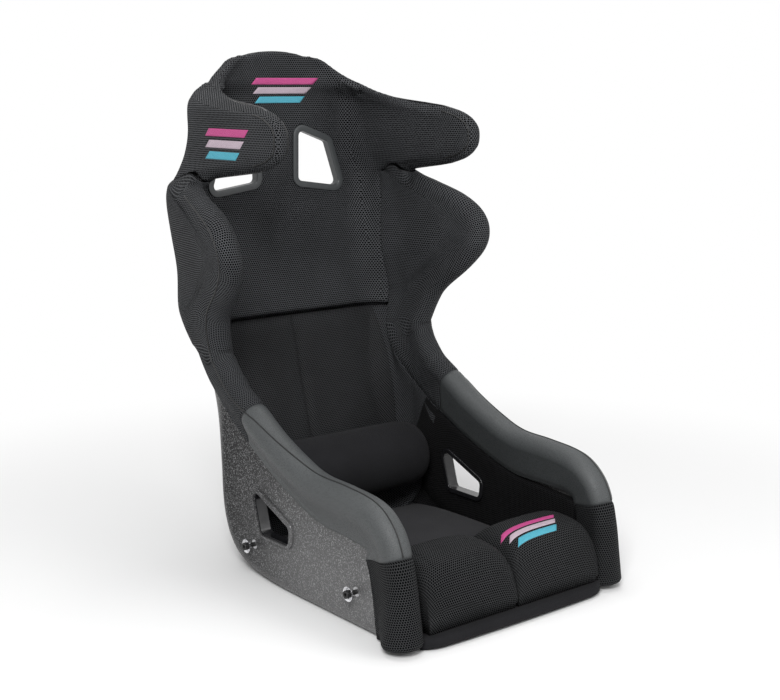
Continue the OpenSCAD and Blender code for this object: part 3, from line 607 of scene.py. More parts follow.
# %% Even steps and stretched cloth
def stations(low, high, step):
    probe = np.linspace(low, high, 600)
    pts = np.array([outline(float(u)) for u in probe])
    length = np.concatenate([[0], np.cumsum(np.linalg.norm(np.diff(pts, axis=0), axis=1))])
    count = int(length[-1] / step) + 1
    marks = np.linspace(0, length[-1], count + 1)
    return [float(u) for u in np.interp(marks, length, probe)], marks, length[-1]

def relaxed(grid, times, around, share=lambda i: 1.0):
    """Averages each point with its neighbours, as a stretched cover does. The border rows stay."""
    cloth_grid = np.array(grid, float)
    first, last = around
    weight = np.array([share(i) for i in range(len(cloth_grid))])[1:-1, None, None] * 0.5
    for _ in range(times):
        middle = cloth_grid[1:-1, first:last]
        near = cloth_grid[:-2, first:last] + cloth_grid[2:, first:last]
        near = near + cloth_grid[1:-1, first - 1:last - 1] + cloth_grid[1:-1, first + 1:last + 1]
        cloth_grid[1:-1, first:last] = middle + weight * (near / 4 - middle)
    return [[tuple(float(c) for c in p) for p in row] for row in cloth_grid]

VINYL_FROM, VINYL_TO = 3, 10.8
print("vinyl stations", len(stations(VINYL_FROM, VINYL_TO, 4.5)[0]))

# %% Sweeping the roll
ROLL_STEP = 4.5
CREASE = 3.2
SEAM_DIP, SEAM_REACH = 1.8, 2.5

def edge_roll(name, low, high, round_low=0, round_high=0, crease=CREASE):
    """One piece of the roll. Each ring goes up the inner flank, round the nose and down the outer flank."""
    us, marks, total = stations(low, high, ROLL_STEP)
    us = [round(u, 6) for u in us]
    rings = []
    for u, mark in zip(us, marks):
        r, mid = nose_r(max(u, -1)), SHELL_T / 2
        deep, out, foam = in_depth(u), out_depth(u), LINING + seam_pad(u)
        full = round_over(mark + 0.8, round_low) if round_low else 1
        if round_high:
            full = mix(0.45, 1, round_over(total - mark + 0.5, round_high))
        far_dip = 0 if round_high else math.exp(-(total - mark) / SEAM_REACH)
        dip = SEAM_DIP * (math.exp(-mark / SEAM_REACH) + far_dip)
        ring = [turned(u, deep * 1.03, foam - 3, low, high, deep)]
        for k in list(reversed(spread(0, 1, 0.055)))[:-1]:
            fold = crease * math.exp(-((1 - k) * deep / 4.0) ** 1.4)
            lift = mid + (mix(mid + r, foam, k) - mid) * full - fold - dip
            ring.append(turned(u, deep * k, lift, low, high, deep))
        for step in range(17):
            a = math.pi * step / 16
            rr = max(r * full - dip, 1)
            ring.append(turned(u, -rr * math.sin(a), mid + rr * math.cos(a), low, high, deep))
        for k in spread(0, 1, 0.08)[1:]:
            hem = 1.8 if u <= WAIST else 3
            puffed = -hem + (mid - r * full + dip + hem) * round_over((1 - k) * out + 0.1, 0.62 * out)
            flat = mix(mid - r * full + dip, -hem, ease(k))
            share = ease((u - PAD_START) / (WAIST - PAD_START))
            ring.append(turned(u, out * k, mix(flat, puffed, share), low, high, out))
        for s in (out + 0.8, out):
            ring.append(turned(u, s, -0.6 if s > out else SHELL_T / 3, low, high, out))
        for k in (0.6, 0.2):
            ring.append(turned(u, out * k, SHELL_T / 3, low, high, out))
        for k in (0.2, 0.6, 1):
            ring.append(turned(u, deep * k, SHELL_T * 2 / 3, low, high, deep))
        rings.append(ring)
    if crease == 0:
        rings = relaxed(rings, 40, (2, 44))
    return outward(ring_skin(name, rings))

print("a station every", ROLL_STEP, "mm")

# %% The four rolls of each side
NOTCH_Z, WING_TOP_Z, WING_END_Z = 682, 826, 852
NOTCH, WING_TOP, WING_END = [rib_of_z(z) for z in (NOTCH_Z, WING_TOP_Z, WING_END_Z)]

def other_side(piece, name):
    copy = piece.copy()
    copy.data = piece.data.copy()
    copy.name = name
    copy.data.transform(Matrix.Scale(-1, 4, Vector((1, 0, 0))))
    bpy.context.scene.collection.objects.link(copy)
    return outward(copy)

rolls = {}
for part, low, high, foot, head, crease in (
        ("front_post", -0.93, VINYL_FROM, 15, 0, CREASE), ("thigh_bolster", VINYL_FROM, VINYL_TO, 0, 0, CREASE),
        ("shoulder_bolster", VINYL_TO, NOTCH, 0, 0, CREASE), ("head_wing", NOTCH, WING_END, 0, 60, 0)):
    right = edge_roll(part + "_roll_right", low, high, foot, head, crease)
    rolls[part] = (other_side(right, part + "_roll_left"), right)
    print(part, len(right.data.vertices), "points")

# %% [markdown]
# ## The seam along the roll
# Two strips of cover meet along the crest of the roll, and the join shows as a thin dark line of thread. It
# could be painted on, but it is a slim tube laid half sunk in the surface, because it then shows from the
# side too.

# %% Seam thread on the rolls
# How far round the nose the seam lies, in degrees from the seat's inside, over the ribs.
THREAD_R = 1.3
SEAM_TURN = [(3, 106), (5, 100), (7, 104), (9, 128), (10.8, 156), (13, 165), (16, 165), (44, 158)]

def seam_thread(name, low, high, turn=None, tree=None):
    """A thread along the roll, or on the nearest place of a cover where its tree is given."""
    line = []
    for u in stations(low, high, 5)[0]:
        u = round(u, 6)
        r, a = nose_r(u), math.radians(turn or curve(SEAM_TURN, u))
        down, inside = -r * math.sin(a), SHELL_T / 2 + r * math.cos(a)
        line.append(np.array(turned(u, down, inside, low, high, in_depth(u))))
    if tree:
        found = [tree.find_nearest(Vector(p) / 1000) for p in line]
        line = [np.array(f[0]) * 1000 + np.array(f[1]) * 0.4 for f in found]
    return tube(name, line, [THREAD_R] * len(line))

def tube(name, line, radii):
    circle = spread(0, 2 * math.pi, 1.05)[:-1]
    rings = []
    for i, p in enumerate(line):
        way = line[min(i + 1, len(line) - 1)] - line[max(i - 1, 0)]
        way = way / np.linalg.norm(way)
        side = np.cross(way, (1.0, 0.2, 0.1))
        side = side / np.linalg.norm(side)
        up = np.cross(way, side)
        rings.append([tuple(p + radii[i] * (math.cos(a) * side + math.sin(a) * up)) for a in circle])
    return outward(ring_skin(name, rings))

seams = []
for part, low, high in (("thigh", VINYL_FROM + 0.05, VINYL_TO - 0.05),
                        ("shoulder", VINYL_TO + 0.05, NOTCH - 0.8)):
    right = seam_thread(part + "_seam_thread_right", low, high)
    seams += [right, other_side(right, part + "_seam_thread_left")]
print(len(seams), "seams")

# %% [markdown]
# ## Glued pads
# The back and head rest are one foam panel under a stretched cover, thick at its seams with the rolls and
# thin over the spine. The front is rounded off by its distance to the top edge, as foam cut and pulled
# round a board is. Head rest and wings share one cover, so their foams are joined and skinned again as one
# form.

# %% Places on the back panel
BACK_FOOT_Z, HEAD_EDGE_Z = 424, 822

def seam_v(u):
    return v_at_depth(rib(u), in_depth(u)) - 0.003

def head_v(u):
    return mix(seam_v(u), 1, min(max((u - WING_TOP) / 1.6, 0), 1))

across_marks = both_ways(spread(0, 1, 0.045) + [1 + p for p in spread(0, 1, 0.028)][1:])

def place_v(p, last):
    a = abs(p)
    return math.copysign(CORNER_START * a if a <= 1 else mix(CORNER_START, last, a - 1), p)

edge_line = [skin_point(rib(rib_of_z(z)), s, 0) for s in (-1, 1) for z in spread(HEAD_EDGE_Z, TOP_Z, 3)]
edge_line += [skin_point(rib(rib_of_z(TOP_Z)), v, 0) for v in spread(-1, 1, 0.04)]
edge_line = np.array(edge_line)
print("edge of the head rest", len(edge_line), "points")

# %% Rows of a back pad

def domed(p):
    """The top of the head rest falls off a little to both sides."""
    return (p[0], p[1], p[2] - 5 * min(abs(p[0]) / 52, 1) ** 2 * ease((p[2] - 880) / 28))

def filled_dome(p, u):
    """Foam fills the hollow of the head rest, so that its front is one shallow dish from edge to edge."""
    g = rib(u)
    front = g.spine_y - LINING - pad_by(CENTRE_PAD, u) - 3
    dish = mix(front, g.rim_y - 2, min(abs(p[0]) / max(g.rim_x, 20), 1) ** 2.5)
    return (p[0], mix(p[1], min(p[1], dish), ease((z_of_rib(u) - WING_TOP_Z) / 28)), p[2])

def panel_rows(us, last_v, thick):
    """The two sides of a pad on the back, rounded off near the edge of the head rest."""
    under, over = [], []
    for u in us:
        g, last = rib(u), last_v(u)
        low_row, high_row = [], []
        for p in across_marks:
            v = place_v(p, last)
            t = thick(u, v, last)
            bottom, top = SHELL_T * 0.8, LINING + t
            if u > WING_TOP - 2:
                near = float(np.min(np.linalg.norm(edge_line - np.array(skin_point(g, v, 0)), axis=1)))
                bottom = mix(-3.5, bottom, ease((near - 17) / 5))
                middle, half = (bottom + top) / 2, (top - bottom) / 2
                swell = max(round_over(near + 0.2, 15), 0.5)
                bottom, top = (middle - half * max(swell, ease((near - 17) / 5))), middle + half * swell
            low_row.append(domed(skin_point(g, v, bottom)))
            high_row.append(filled_dome(domed(skin_point(g, v, top)), u))
        under.append(low_row)
        over.append(high_row)
    return under, over

def seam_dip(v, last):
    return 2.6 * math.exp(-max(last - abs(v), 0) / 0.02)

print("dip at a seam", seam_dip(1, 1), "mm")

# %% Back and head foam
def back_thick(u, v, last):
    t = pad_at(u, v, last) - seam_dip(v, last) * (1 - ease((z_of_rib(u) - 672) / 18))
    return t - 2.0 * math.exp(-(z_of_rib(u) - BACK_FOOT_Z) / 4) if u < rib_of_z(440) else t

back_us = [rib_of_z(z) for z in spread(BACK_FOOT_Z, 820, 6) + spread(HEAD_EDGE_Z, TOP_Z, 2.5)]
under, over = panel_rows(back_us, head_v, back_thick)
over = relaxed(over, 20, (1, len(across_marks) - 1), lambda i: ease((z_of_rib(back_us[i]) - 815) / 25))
foam = outward(slab_skin("back_and_head_foam", under, over))
print("foam", len(foam.data.polygons), "faces")

# %% One cover over several foams
def side_on_map(mesh):
    """Lays the cloth flat on each face along the axis that the face looks at most, in metres."""
    layer = mesh.uv_layers.get("cloth") or mesh.uv_layers.new(name="cloth")
    loops, polys = len(mesh.loops), len(mesh.polygons)
    co, vertex = np.empty(len(mesh.vertices) * 3), np.empty(loops, int)
    normal, count = np.empty(polys * 3), np.empty(polys, int)
    mesh.vertices.foreach_get("co", co)
    mesh.loops.foreach_get("vertex_index", vertex)
    mesh.polygons.foreach_get("normal", normal)
    mesh.polygons.foreach_get("loop_total", count)
    facing = np.repeat(np.argmax(np.abs(normal.reshape(-1, 3)) * (1, 1, 0.8), axis=1), count)
    p = co.reshape(-1, 3)[vertex]
    pick = np.array([(1, 2), (0, 2), (0, 1)])[facing]
    layer.data.foreach_set("uv", np.take_along_axis(p, pick, axis=1).ravel())

def one_cover(name, pieces, size, times):
    """Several foams under one stretched cover: joined, skinned again as one closed form, then relaxed."""
    joined = bmesh.new()
    for piece in pieces:
        joined.from_mesh(piece.data)
    mesh = bpy.data.meshes.new(name)
    joined.to_mesh(mesh)
    joined.free()
    cover = bpy.data.objects.new(name, mesh)
    bpy.context.scene.collection.objects.link(cover)
    skin = cover.modifiers.new("skin", "REMESH")
    skin.mode, skin.voxel_size = "VOXEL", size
    ease_out = cover.modifiers.new("relax", "SMOOTH")
    ease_out.factor, ease_out.iterations = 0.5, times
    clear_away(*pieces)
    return settle(cover)

print("cover helpers ready")

# %% Back and head cover
STRIP_LOW, STRIP_HIGH = 828, 900

def edge_foam(name, side, edge, radius):
    """A strip of foam along an edge, where the head rest passes into the wing."""
    zs = spread(STRIP_LOW, STRIP_HIGH, 3)
    line = [np.array(skin_point(rib(rib_of_z(z)), side * edge(rib_of_z(z)), SHELL_T / 2)) for z in zs]
    full = [ease((z - STRIP_LOW) / 16) * ease((STRIP_HIGH - z) / 14) for z in zs]
    return tube(name, line, [mix(2.5, radius, share) for share in full])

edge_strips = [edge_foam("head_edge_foam", side, lambda u: 1, 7.5) for side in (1, -1)]
edge_strips += [edge_foam("tub_edge_foam", side, tub_edge_v, 7) for side in (1, -1)]
panel = one_cover("back_and_head_cover", [foam, *edge_strips, *rolls.pop("head_wing")], 0.0035, 9)
tools = [shoulder_cutter(side, 255, 420, SLEEVE + GAP) for side in (1, -1)]
tools += [shoulder_cutter(side, 255, SHOULDER_FACE + FLANGE_T + GAP, FLANGE + GAP) for side in (1, -1)]
cut(panel, *tools)
side_on_map(panel.data)
shade_smooth(panel.data)
print("panel", len(panel.data.polygons), "faces")

# %% Seam thread on the wings
WING_SEAM_Z = (703, 812)

def tree_of(piece):
    corners = [v.co for v in piece.data.vertices]
    return BVHTree.FromPolygons(corners, [tuple(f.vertices) for f in piece.data.polygons])

cover_tree = tree_of(panel)
for where, turn in (("inner", 24), ("outer", 156)):
    ends = [rib_of_z(z) for z in WING_SEAM_Z]
    right = seam_thread("wing_" + where + "_seam_thread_right", *ends, turn, cover_tree)
    seams += [right, other_side(right, "wing_" + where + "_seam_thread_left")]
print(len(seams), "seams in all")

# %% [markdown]
# ## Linings
# Thin foam under plain black cloth lines the hip panels and the lower back. The hip linings wear a much
# darker copy of that cloth, as painted shade deep inside the hip panels. The foam is glued flat, so each
# lining is a slab between two depths of the tub's own ribs, and it can't drift away from the wall that it
# lines.

# %% Lower back lining
LOW_BACK_T = 9

def low_back_t(u, v, last):
    return mix(LOW_BACK_T, seam_pad(u), ease((abs(v) - 0.6) / max(last - 0.6, 0.02))) - seam_dip(v, last)

lower_us = spread(11.0, WAIST, 0.12) + [rib_of_z(z) for z in spread(WAIST_Z, BACK_FOOT_Z, 5)][1:]
lower_back = outward(slab_skin("lower_back_lining", *panel_rows(lower_us, seam_v, low_back_t)))
print("lower back", len(lower_back.data.polygons), "faces")

# %% Hip linings
LINER_LOW = 0.58
THIN_CLOTH = 1.5

def liner_v(u, k):
    top = v_at_depth(rib(u), in_depth(u) + mix(12, 3, ease((u - 4.6) / 3.4)))
    return mix(LINER_LOW, max(top, LINER_LOW + 0.02), k)

def liner_top(u, k):
    """Full foam on the hip panel, and only cloth where the lining runs down into the floor's corner."""
    foam_t = HIP_FOAM - 2 * math.exp(-(1 - k) * 12)
    return LINING + mix(THIN_CLOTH, foam_t, ease((liner_v(u, k) - 0.68) / 0.05))

liner_us = spread(4.85, 12.3, 0.1)
ks = spread(0, 1, 0.04)
under = [[skin_point(rib(u), liner_v(u, k), SHELL_T * 0.8) for k in ks] for u in liner_us]
over = [[skin_point(rib(u), liner_v(u, k), liner_top(u, k)) for k in ks] for u in liner_us]
liner = outward(slab_skin("hip_lining_right", under, over))
cut(liner, lap_cutter(1, 160, 224, SLEEVE + GAP))
liner_left = other_side(liner, "hip_lining_left")
print("liner", len(liner.data.polygons), "faces")

# %% [markdown]
# ## Floor padding and front lip
# A flat pad lies on the tub's floor, and a soft lip closes the front. Both could be bevelled boxes, but a
# slab drawn point by point keeps one even round at its border, and the lip's plan can bow out as the real
# one does.

# %% Floor padding
FLOOR_FOAM = 16
FLOOR_TOP = LINING + FLOOR_FOAM
FLOOR_HALF, FLOOR_FROM, FLOOR_TO = 186, along(-298), along(196)
BORDER_LENGTH, BORDER_R = 426, 6

def floor_point(p, q, over):
    x, y = FLOOR_HALF * p, mix(FLOOR_FROM, FLOOR_TO, q)
    reach = ((1 - abs(p)) * FLOOR_HALF, q * BORDER_LENGTH, (1 - q) * BORDER_LENGTH)
    soft = min(round_over(d + 0.4, BORDER_R) for d in reach)
    return (x, y, LINING + (FLOOR_FOAM * max(soft, 0.15) if over else 0))

def cushion(name, point, rows, cols):
    under, over = [[[point(p, q, side) for p in cols] for q in rows] for side in (False, True)]
    return outward(slab_skin(name, under, over))

floor_marks = [0, 0.004, 0.009, 0.016] + spread(0.03, 0.97, 0.03) + [0.984, 0.991, 0.996, 1]
pan = cushion("floor_padding", floor_point, floor_marks, spread(-1, 1, 0.03))
cut(pan, crotch_cutter(-20, 60))
print("floor padding", len(pan.data.polygons), "faces")

# %% Front lip
LIP_HALF, LIP_FRONT, LIP_FLAT = 195.9, along(-332), 0.55
LIP_PLAN = [(-1, 0.5), (-0.965, 0.68), (-0.9, 0.88), (-0.8, 0.98), (0, 1.06), (0.8, 0.98), (0.9, 0.88),
            (0.965, 0.68), (1, 0.5)]
lip_back = rib(0).spine_y - GAP
lip_turns = spread(0, math.pi / 2, 0.2)
lip_middle = FLOOR_TOP / 2 + GAP
lip_section = [(0, GAP), (0, FLOOR_TOP)] + [(LIP_FLAT * k / 4, FLOOR_TOP) for k in (1, 2, 3)]
lip_section += [(LIP_FLAT + 0.45 * math.sin(a), mix(lip_middle, FLOOR_TOP, math.cos(a))) for a in lip_turns]
lip_section += [(LIP_FLAT + 0.45 * math.cos(a), mix(lip_middle, GAP, math.sin(a))) for a in lip_turns[1:]]
lip_rings = []
for m in spread(-1, 1, 0.02):
    deep = (LIP_FRONT - lip_back) * curve(LIP_PLAN, m)
    lip_rings.append([(LIP_HALF * m, lip_back + deep * d, h) for d, h in lip_section])
lip = outward(ring_skin("front_lip", lip_rings))
print("lip", len(lip.data.polygons), "faces")

# %% [markdown]
# ## The base cushion
# The cushions lift out. Each is a crowned closed form: full in the middle, and drawn down at its border.
# Cloth simulation could puff it up, but a formula for the crown gives the same plain form and never changes.

# %% Base cushion
TAPE_T = 1.2
CUSHION_Z = FLOOR_TOP + TAPE_T + GAP
BASE_HALF = HALF_HIP - SHELL_T - GAP - HIP_FOAM - 20
BASE_FROM, BASE_TO = along(-131), along(150)
BASE_T, BASE_CROWN = 36, 14
BASE_SLOPE = [(-1, 1), (0.2, 1), (1, 0.8)]
full = both_ways([0, 0.006, 0.014] + spread(0.03, 0.9, 0.03) + [0.92, 0.94, 0.96, 0.975, 0.988, 0.996, 1])

def base_point(p, q, over):
    x = BASE_HALF * p * (1 - 0.02 * (1 - q * q))
    y = mix(BASE_FROM, BASE_TO, (q * (1 - 0.02 * (1 - p * p)) + 1) / 2)
    t = (BASE_T + BASE_CROWN * (1 - p ** 4) * (1 - q ** 4)) * curve(BASE_SLOPE, q)
    edge = round_over(1 - abs(p), 0.16) * round_over(1 - abs(q), 0.16)
    return (x, y, CUSHION_Z + (t * mix(0.35, 1, edge) if over else 0))

base = cushion("base_cushion_cover", base_point, full, full)
print("base cushion", len(base.data.vertices), "points")

# %% [markdown]
# ## The thigh cushions
# Two firm wedges lie side by side at the front, each with a sewn channel along its outer edge and across
# its top. A box with bevels would look hard, so the height is the product of a curve from front to back and
# one across.

# %% Thigh cushions
THIGH_T, THIGH_LENGTH = 112, 186
THIGH_TOP_Y, THIGH_FOOT_Y = (along(-319), along(-133)), (along(-314), along(-134))
SIDE_SEAM, TOP_SEAM = 0.86, 0.36
THIGH_SIDE = [(0, 0.2), (0.015, 0.42), (0.045, 0.67), (0.1, 0.85), (0.18, 0.945), (0.28, 0.985), (0.4, 1),
              (0.54, 0.965), (0.7, 0.8), (0.86, 0.5), (0.96, 0.32), (1, 0.24)]
THIGH_CROSS = [(0, 0.58), (0.02, 0.72), (0.06, 0.84), (0.14, 0.935), (0.28, 0.985), (0.5, 1), (0.8, 0.985),
               (0.91, 0.93), (0.97, 0.81), (1, 0.66)]

def thigh_point(p, q, over):
    inner_x = 1 + 1.5 * (1 - (2 * q - 1) ** 2)
    if not over:
        return (mix(inner_x + 4, BASE_HALF - 5, p), mix(*THIGH_FOOT_Y, q), FLOOR_TOP + GAP)
    fold = 1.6 * math.exp(-abs(p - SIDE_SEAM) * BASE_HALF / 2.2)
    fold += 1.2 * math.exp(-abs(q - TOP_SEAM) * THIGH_LENGTH / 3)
    top = CUSHION_Z + THIGH_T * curve(THIGH_SIDE, q) * curve(THIGH_CROSS, p) - fold
    return (mix(inner_x, BASE_HALF, p), mix(*THIGH_TOP_Y, q), top)

cross_marks = [0, 0.006, 0.016, 0.03, 0.05, 0.075] + spread(0.1, 0.82, 0.03) + spread(0.835, 0.99, 0.012) + [1]
side_marks = [0, 0.008, 0.018, 0.035, 0.06, 0.09] + spread(0.12, 0.94, 0.02) + [0.97, 0.99, 1]
thigh_right = cushion("thigh_cushion_cover_right", thigh_point, side_marks, cross_marks)
thigh_left = other_side(thigh_right, "thigh_cushion_cover_left")
print("thigh cushion", len(thigh_right.data.vertices), "points")

# %% [markdown]
# ## The back cushion
# It hangs on tape against the lower back, two panels with a sewn channel up the middle.
# Its back follows the tub's curve and its front stands a thickness away, so that it bends with the spine.

# %% Back cushion
BACK_REST = LINING + LOW_BACK_T + TAPE_T + GAP
BACK_CUSHION_T, BACK_HALF = 27, 187

def floor_e(g, x, t):
    r = corner_r(g, t)
    dx = min(max(abs(x) - (g.knee_x - t - r), 0), r - 0.01)
    return t * g.slant + r - math.sqrt(r * r - dx * dx) + 6 * min(dx / 12, 1)

back_cushion_us = spread(13.1, WAIST, 0.05) + [rib_of_z(z) for z in spread(WAIST_Z, 417, 2)][1:]
spines = np.array([(rib(u).spine_y, rib(u).spine_z) for u in back_cushion_us])
spine_len = np.concatenate([[0], np.cumsum(np.linalg.norm(np.diff(spines, axis=0), axis=1))])

def back_cushion_point(p, i, over):
    g, x = rib(back_cushion_us[i]), BACK_HALF * p
    low = floor_e(g, x, BACK_REST)
    if not over:
        return in_rib(g, (x, low))
    end = min(spine_len[i], spine_len[-1] - spine_len[i])
    plump = mix(0.45, 1, round_over(end + 0.5, 26))
    groove = 0.3 * math.exp(-((abs(p) * BACK_HALF) / 5) ** 1.5)
    e = (BACK_REST + BACK_CUSHION_T * plump * (1 - groove)) * g.slant
    return in_rib(g, (x, mix(low + 5, max(e, low + 5), round_over(1 - abs(p), 0.16))))

back_cushion = cushion("back_cushion_cover", back_cushion_point, range(len(back_cushion_us)), full)
print("back cushion", len(back_cushion.data.vertices), "points")

# %% [markdown]
# ## The lumbar pillow
# A plump roll of foam supports the small of the back. It is a row of rings, and each ring is flattened
# where it would sink into the cushion behind it, because a real pillow is pressed flat there.

# %% Lumbar pillow
LUMBAR_HALF, LUMBAR_R, LUMBAR_Y, LUMBAR_Z, LUMBAR_BACK = HALF_HIP - 35, 62, along(170), 147, 1.3
low_spine = np.array(rib(13)[2:4])
way = np.array(rib(14)[2:4]) - low_spine
way = way / np.linalg.norm(way)
spine_out = np.array([-way[1], way[0]])
LUMBAR_MARKS = [(-1, 0.7), (-0.98, 0.83), (-0.93, 0.93), (-0.83, 0.985), (-0.6, 1), (0, 1), (0.6, 1),
                (0.83, 0.985), (0.93, 0.93), (0.98, 0.83), (1, 0.7)]

def lumbar_ring(m):
    x, g = LUMBAR_HALF * m, rib(13)
    keep = max(BACK_REST + BACK_CUSHION_T, floor_e(g, x, LINING + HIP_FOAM + 2) / g.slant + GAP) + 2 * GAP
    size = curve(LUMBAR_MARKS, m) * mix(0.9, 1, round_over((1 - abs(m)) * LUMBAR_HALF + 0.3, 7)) * LUMBAR_R
    row = []
    for k in range(72):
        a = 2 * math.pi * k / 72
        wide = LUMBAR_BACK if math.cos(a) > 0 else 1
        c = np.array([LUMBAR_Y + math.cos(a) * wide * size, LUMBAR_Z + math.sin(a) * size])
        h = float((c - low_spine) @ spine_out)
        if h < keep:
            c = c + spine_out * (keep - h)
        row.append((x, float(c[0]), float(c[1])))
    return row

pillow_marks = [-1, -0.996, -0.99, -0.98, -0.965] + spread(-0.95, 0.95, 0.03) + [0.965, 0.98, 0.99, 0.996, 1]
lumbar = outward(ring_skin("lumbar_pillow_cover", [lumbar_ring(m) for m in pillow_marks]))
print("lumbar pillow", len(lumbar.data.vertices), "points")

# %% [markdown]
# ## Harness bezels
# The bezels are injection-moulded rings that clip into the slots. They could be bevelled solids, but each
# is swept as a ring of sections, with a rounded lip on the face and a sleeve back through the tub, as the
# mould forms it.

# %% Bezel rings
INNER_ROUND, OUTER_ROUND, FACE_CROWN = 2.2, 1.6, 0.35

def bezel(name, corners, place, face, depth, flange):
    """Rings from the sleeve's far end, up its inner wall, over the face and down outside the flange."""
    quarter = spread(0, math.pi / 2, 0.3)
    steps = [(0, depth), (0, INNER_ROUND)]
    steps += [(INNER_ROUND - INNER_ROUND * math.cos(a), INNER_ROUND - INNER_ROUND * math.sin(a))
              for a in quarter]
    steps += [(flange * 0.5, -FACE_CROWN)]
    steps += [(flange - OUTER_ROUND + OUTER_ROUND * math.sin(a), OUTER_ROUND - OUTER_ROUND * math.cos(a))
              for a in quarter]
    steps += [(flange, FLANGE_T), (SLEEVE, FLANGE_T), (SLEEVE, depth)]
    rings = [[place(a, b, face, d) for a, b in rounded_outline(corners, CORNER, grow)] for grow, d in steps]
    rows, cols = len(rings), len(rings[0])
    faces = []
    for i in range(rows):
        here, there = i * cols, (i + 1) % rows * cols
        faces += [(here + j, here + (j + 1) % cols, there + (j + 1) % cols, there + j) for j in range(cols)]
    piece = outward(finish_mesh(name, [p for ring in rings for p in ring], faces))
    piece.data.set_sharp_from_angle(angle=math.radians(50))
    return piece

def facing_front(a, b, face, depth):
    return (a, face + depth, b)

def facing_in(a, b, face, depth):
    return (face + depth, a, b)

SHOULDER_DEPTH, LAP_FLANGE = 17.5, 9
LAP_FACE = HALF_HIP - SHELL_T - GAP - HIP_FOAM - GAP - FLANGE_T
shoulder_bezel = bezel("shoulder_bezel_ring_right", SHOULDER_IN, facing_front, SHOULDER_FACE,
                       SHOULDER_DEPTH, FLANGE)
lap_bezel = bezel("lap_bezel_ring_right", LAP, facing_in, LAP_FACE, HALF_HIP - LAP_FACE, LAP_FLANGE)
shoulder_bezel_left = other_side(shoulder_bezel, "shoulder_bezel_ring_left")
lap_bezel_left = other_side(lap_bezel, "lap_bezel_ring_left")
print("bezels", len(shoulder_bezel.data.polygons))

# %% [markdown]
# ## A generic patch
# Seats often carry a small embroidered mark. This one carries three plain slanted bars in each of three
# places. They could be painted into the cloth, but thread stands a little proud, so they are thin strips
# laid on the cover.

# %% One embroidered bar
def bar(name, tree, start, right, up, look, length, height, slant):
    """A strip laid on a cover: start is its lower corner, and rays along look find the cloth under it."""
    start, right, up, look = (Vector(v) for v in (start, right, up, look))
    rows = []
    for lift in (-0.5, 0.7):
        grid = []
        for k in spread(0, 1, 0.125):
            line = []
            for j in spread(0, 1, 0.04):
                place = start + right * (length * j + slant * k) + up * (height * k)
                hit = tree.ray_cast((place - look * 300) / 1000, look)[0] * 1000
                soft = round_over(min(j, 1 - j) * length + 0.1, 1.5)
                soft *= round_over(min(k, 1 - k) * height + 0.1, 1.5)
                line.append(tuple(hit - look * (lift * soft if lift > 0 else lift)))
            grid.append(line)
        rows.append(grid)
    return outward(slab_skin(name, rows[0], rows[1]))

print("bar helper ready")

# %% Three groups of bars
BAR_SHIFT, BAR_SHORTER, BAR_SLANT = 5, 17, 11

def bar_group(name, piece, start, right, up, look, length, height, pitch):
    """Three bars, each one pitch below the last, a little further along and a little shorter."""
    tree, right_v, up_v = tree_of(piece), Vector(right), Vector(up)
    starts = [Vector(start) - up_v * pitch * i + right_v * BAR_SHIFT * i for i in range(3)]
    return [bar(name + "_bar_" + str(i + 1), tree, starts[i], right, up, look,
                length - BAR_SHORTER * i, height, BAR_SLANT) for i in range(3)]

bars = bar_group("head", panel, (-58, 300, 847), (1, 0, 0), (0, 0, 1), (0, 1, 0), 136, 12, 17)
bars += bar_group("wing", panel, (-230, 214, 761), (0, -1, 0), (0, 0, 1), (1, 0, 0), 126, 13, 19)
bars += bar_group("thigh", thigh_right, (10, -284, 160), (1, 0, 0), (0, 1, 0), (0, 0, -1), 122, 11, 15)
print(len(bars), "bars")

# %% [markdown]
# ## Cloth and moulding effects
# An effect is built once as a node group and shared. The weaves read the flat cloth map, so that their
# cells keep their size, and the grain and the patches read the place in space. A picture of cloth would
# blur up close.

# %% Node group helpers
def new_group(name, inputs, outputs):
    group = bpy.data.node_groups.new(name, "ShaderNodeTree")
    for label, kind, value in inputs:
        socket = group.interface.new_socket(label, in_out="INPUT", socket_type=kind)
        if value is not None:
            socket.default_value = value
    for label, kind in outputs:
        group.interface.new_socket(label, in_out="OUTPUT", socket_type=kind)
    return group, group.nodes.new("NodeGroupInput"), group.nodes.new("NodeGroupOutput")

def wire(tree, node, pairs):
    for socket, source in pairs.items():
        target = node.inputs[socket]
        if isinstance(source, bpy.types.NodeSocket):
            tree.links.new(source, target)
        else:
            target.default_value = source
    return node

def math_node(tree, operation, a, b=None, c=None, clamp=False):
    node = tree.nodes.new("ShaderNodeMath")
    node.operation, node.use_clamp = operation, clamp
    wire(tree, node, {i: v for i, v in enumerate((a, b, c)) if v is not None})
    return node.outputs[0]

def vector_node(tree, operation, a, b=None, out="Vector"):
    node = tree.nodes.new("ShaderNodeVectorMath")
    node.operation = operation
    wire(tree, node, {i: v for i, v in enumerate((a, b)) if v is not None})
    return node.outputs[out]

def smooth(tree, value, low, high, a=0.0, b=1.0):
    node = tree.nodes.new("ShaderNodeMapRange")
    node.interpolation_type = "SMOOTHSTEP"
    wire(tree, node, {"Value": value, "From Min": low, "From Max": high, "To Min": a, "To Max": b})
    return node.outputs["Result"]

def scaled(tree, vector, scale):
    node = tree.nodes.new("ShaderNodeVectorMath")
    node.operation = "SCALE"
    wire(tree, node, {0: vector, "Scale": scale})
    return node.outputs[0]

def parts_of(tree, vector):
    node = tree.nodes.new("ShaderNodeSeparateXYZ")
    wire(tree, node, {0: vector})
    return node.outputs

def weave_group(name, pitch, outputs):
    inputs = [("Cloth", "NodeSocketVector", None), ("Pitch", "NodeSocketFloat", pitch)]
    return new_group(name, inputs, [(label, "NodeSocketFloat") for label in outputs])

print("groups before", len(bpy.data.node_groups))

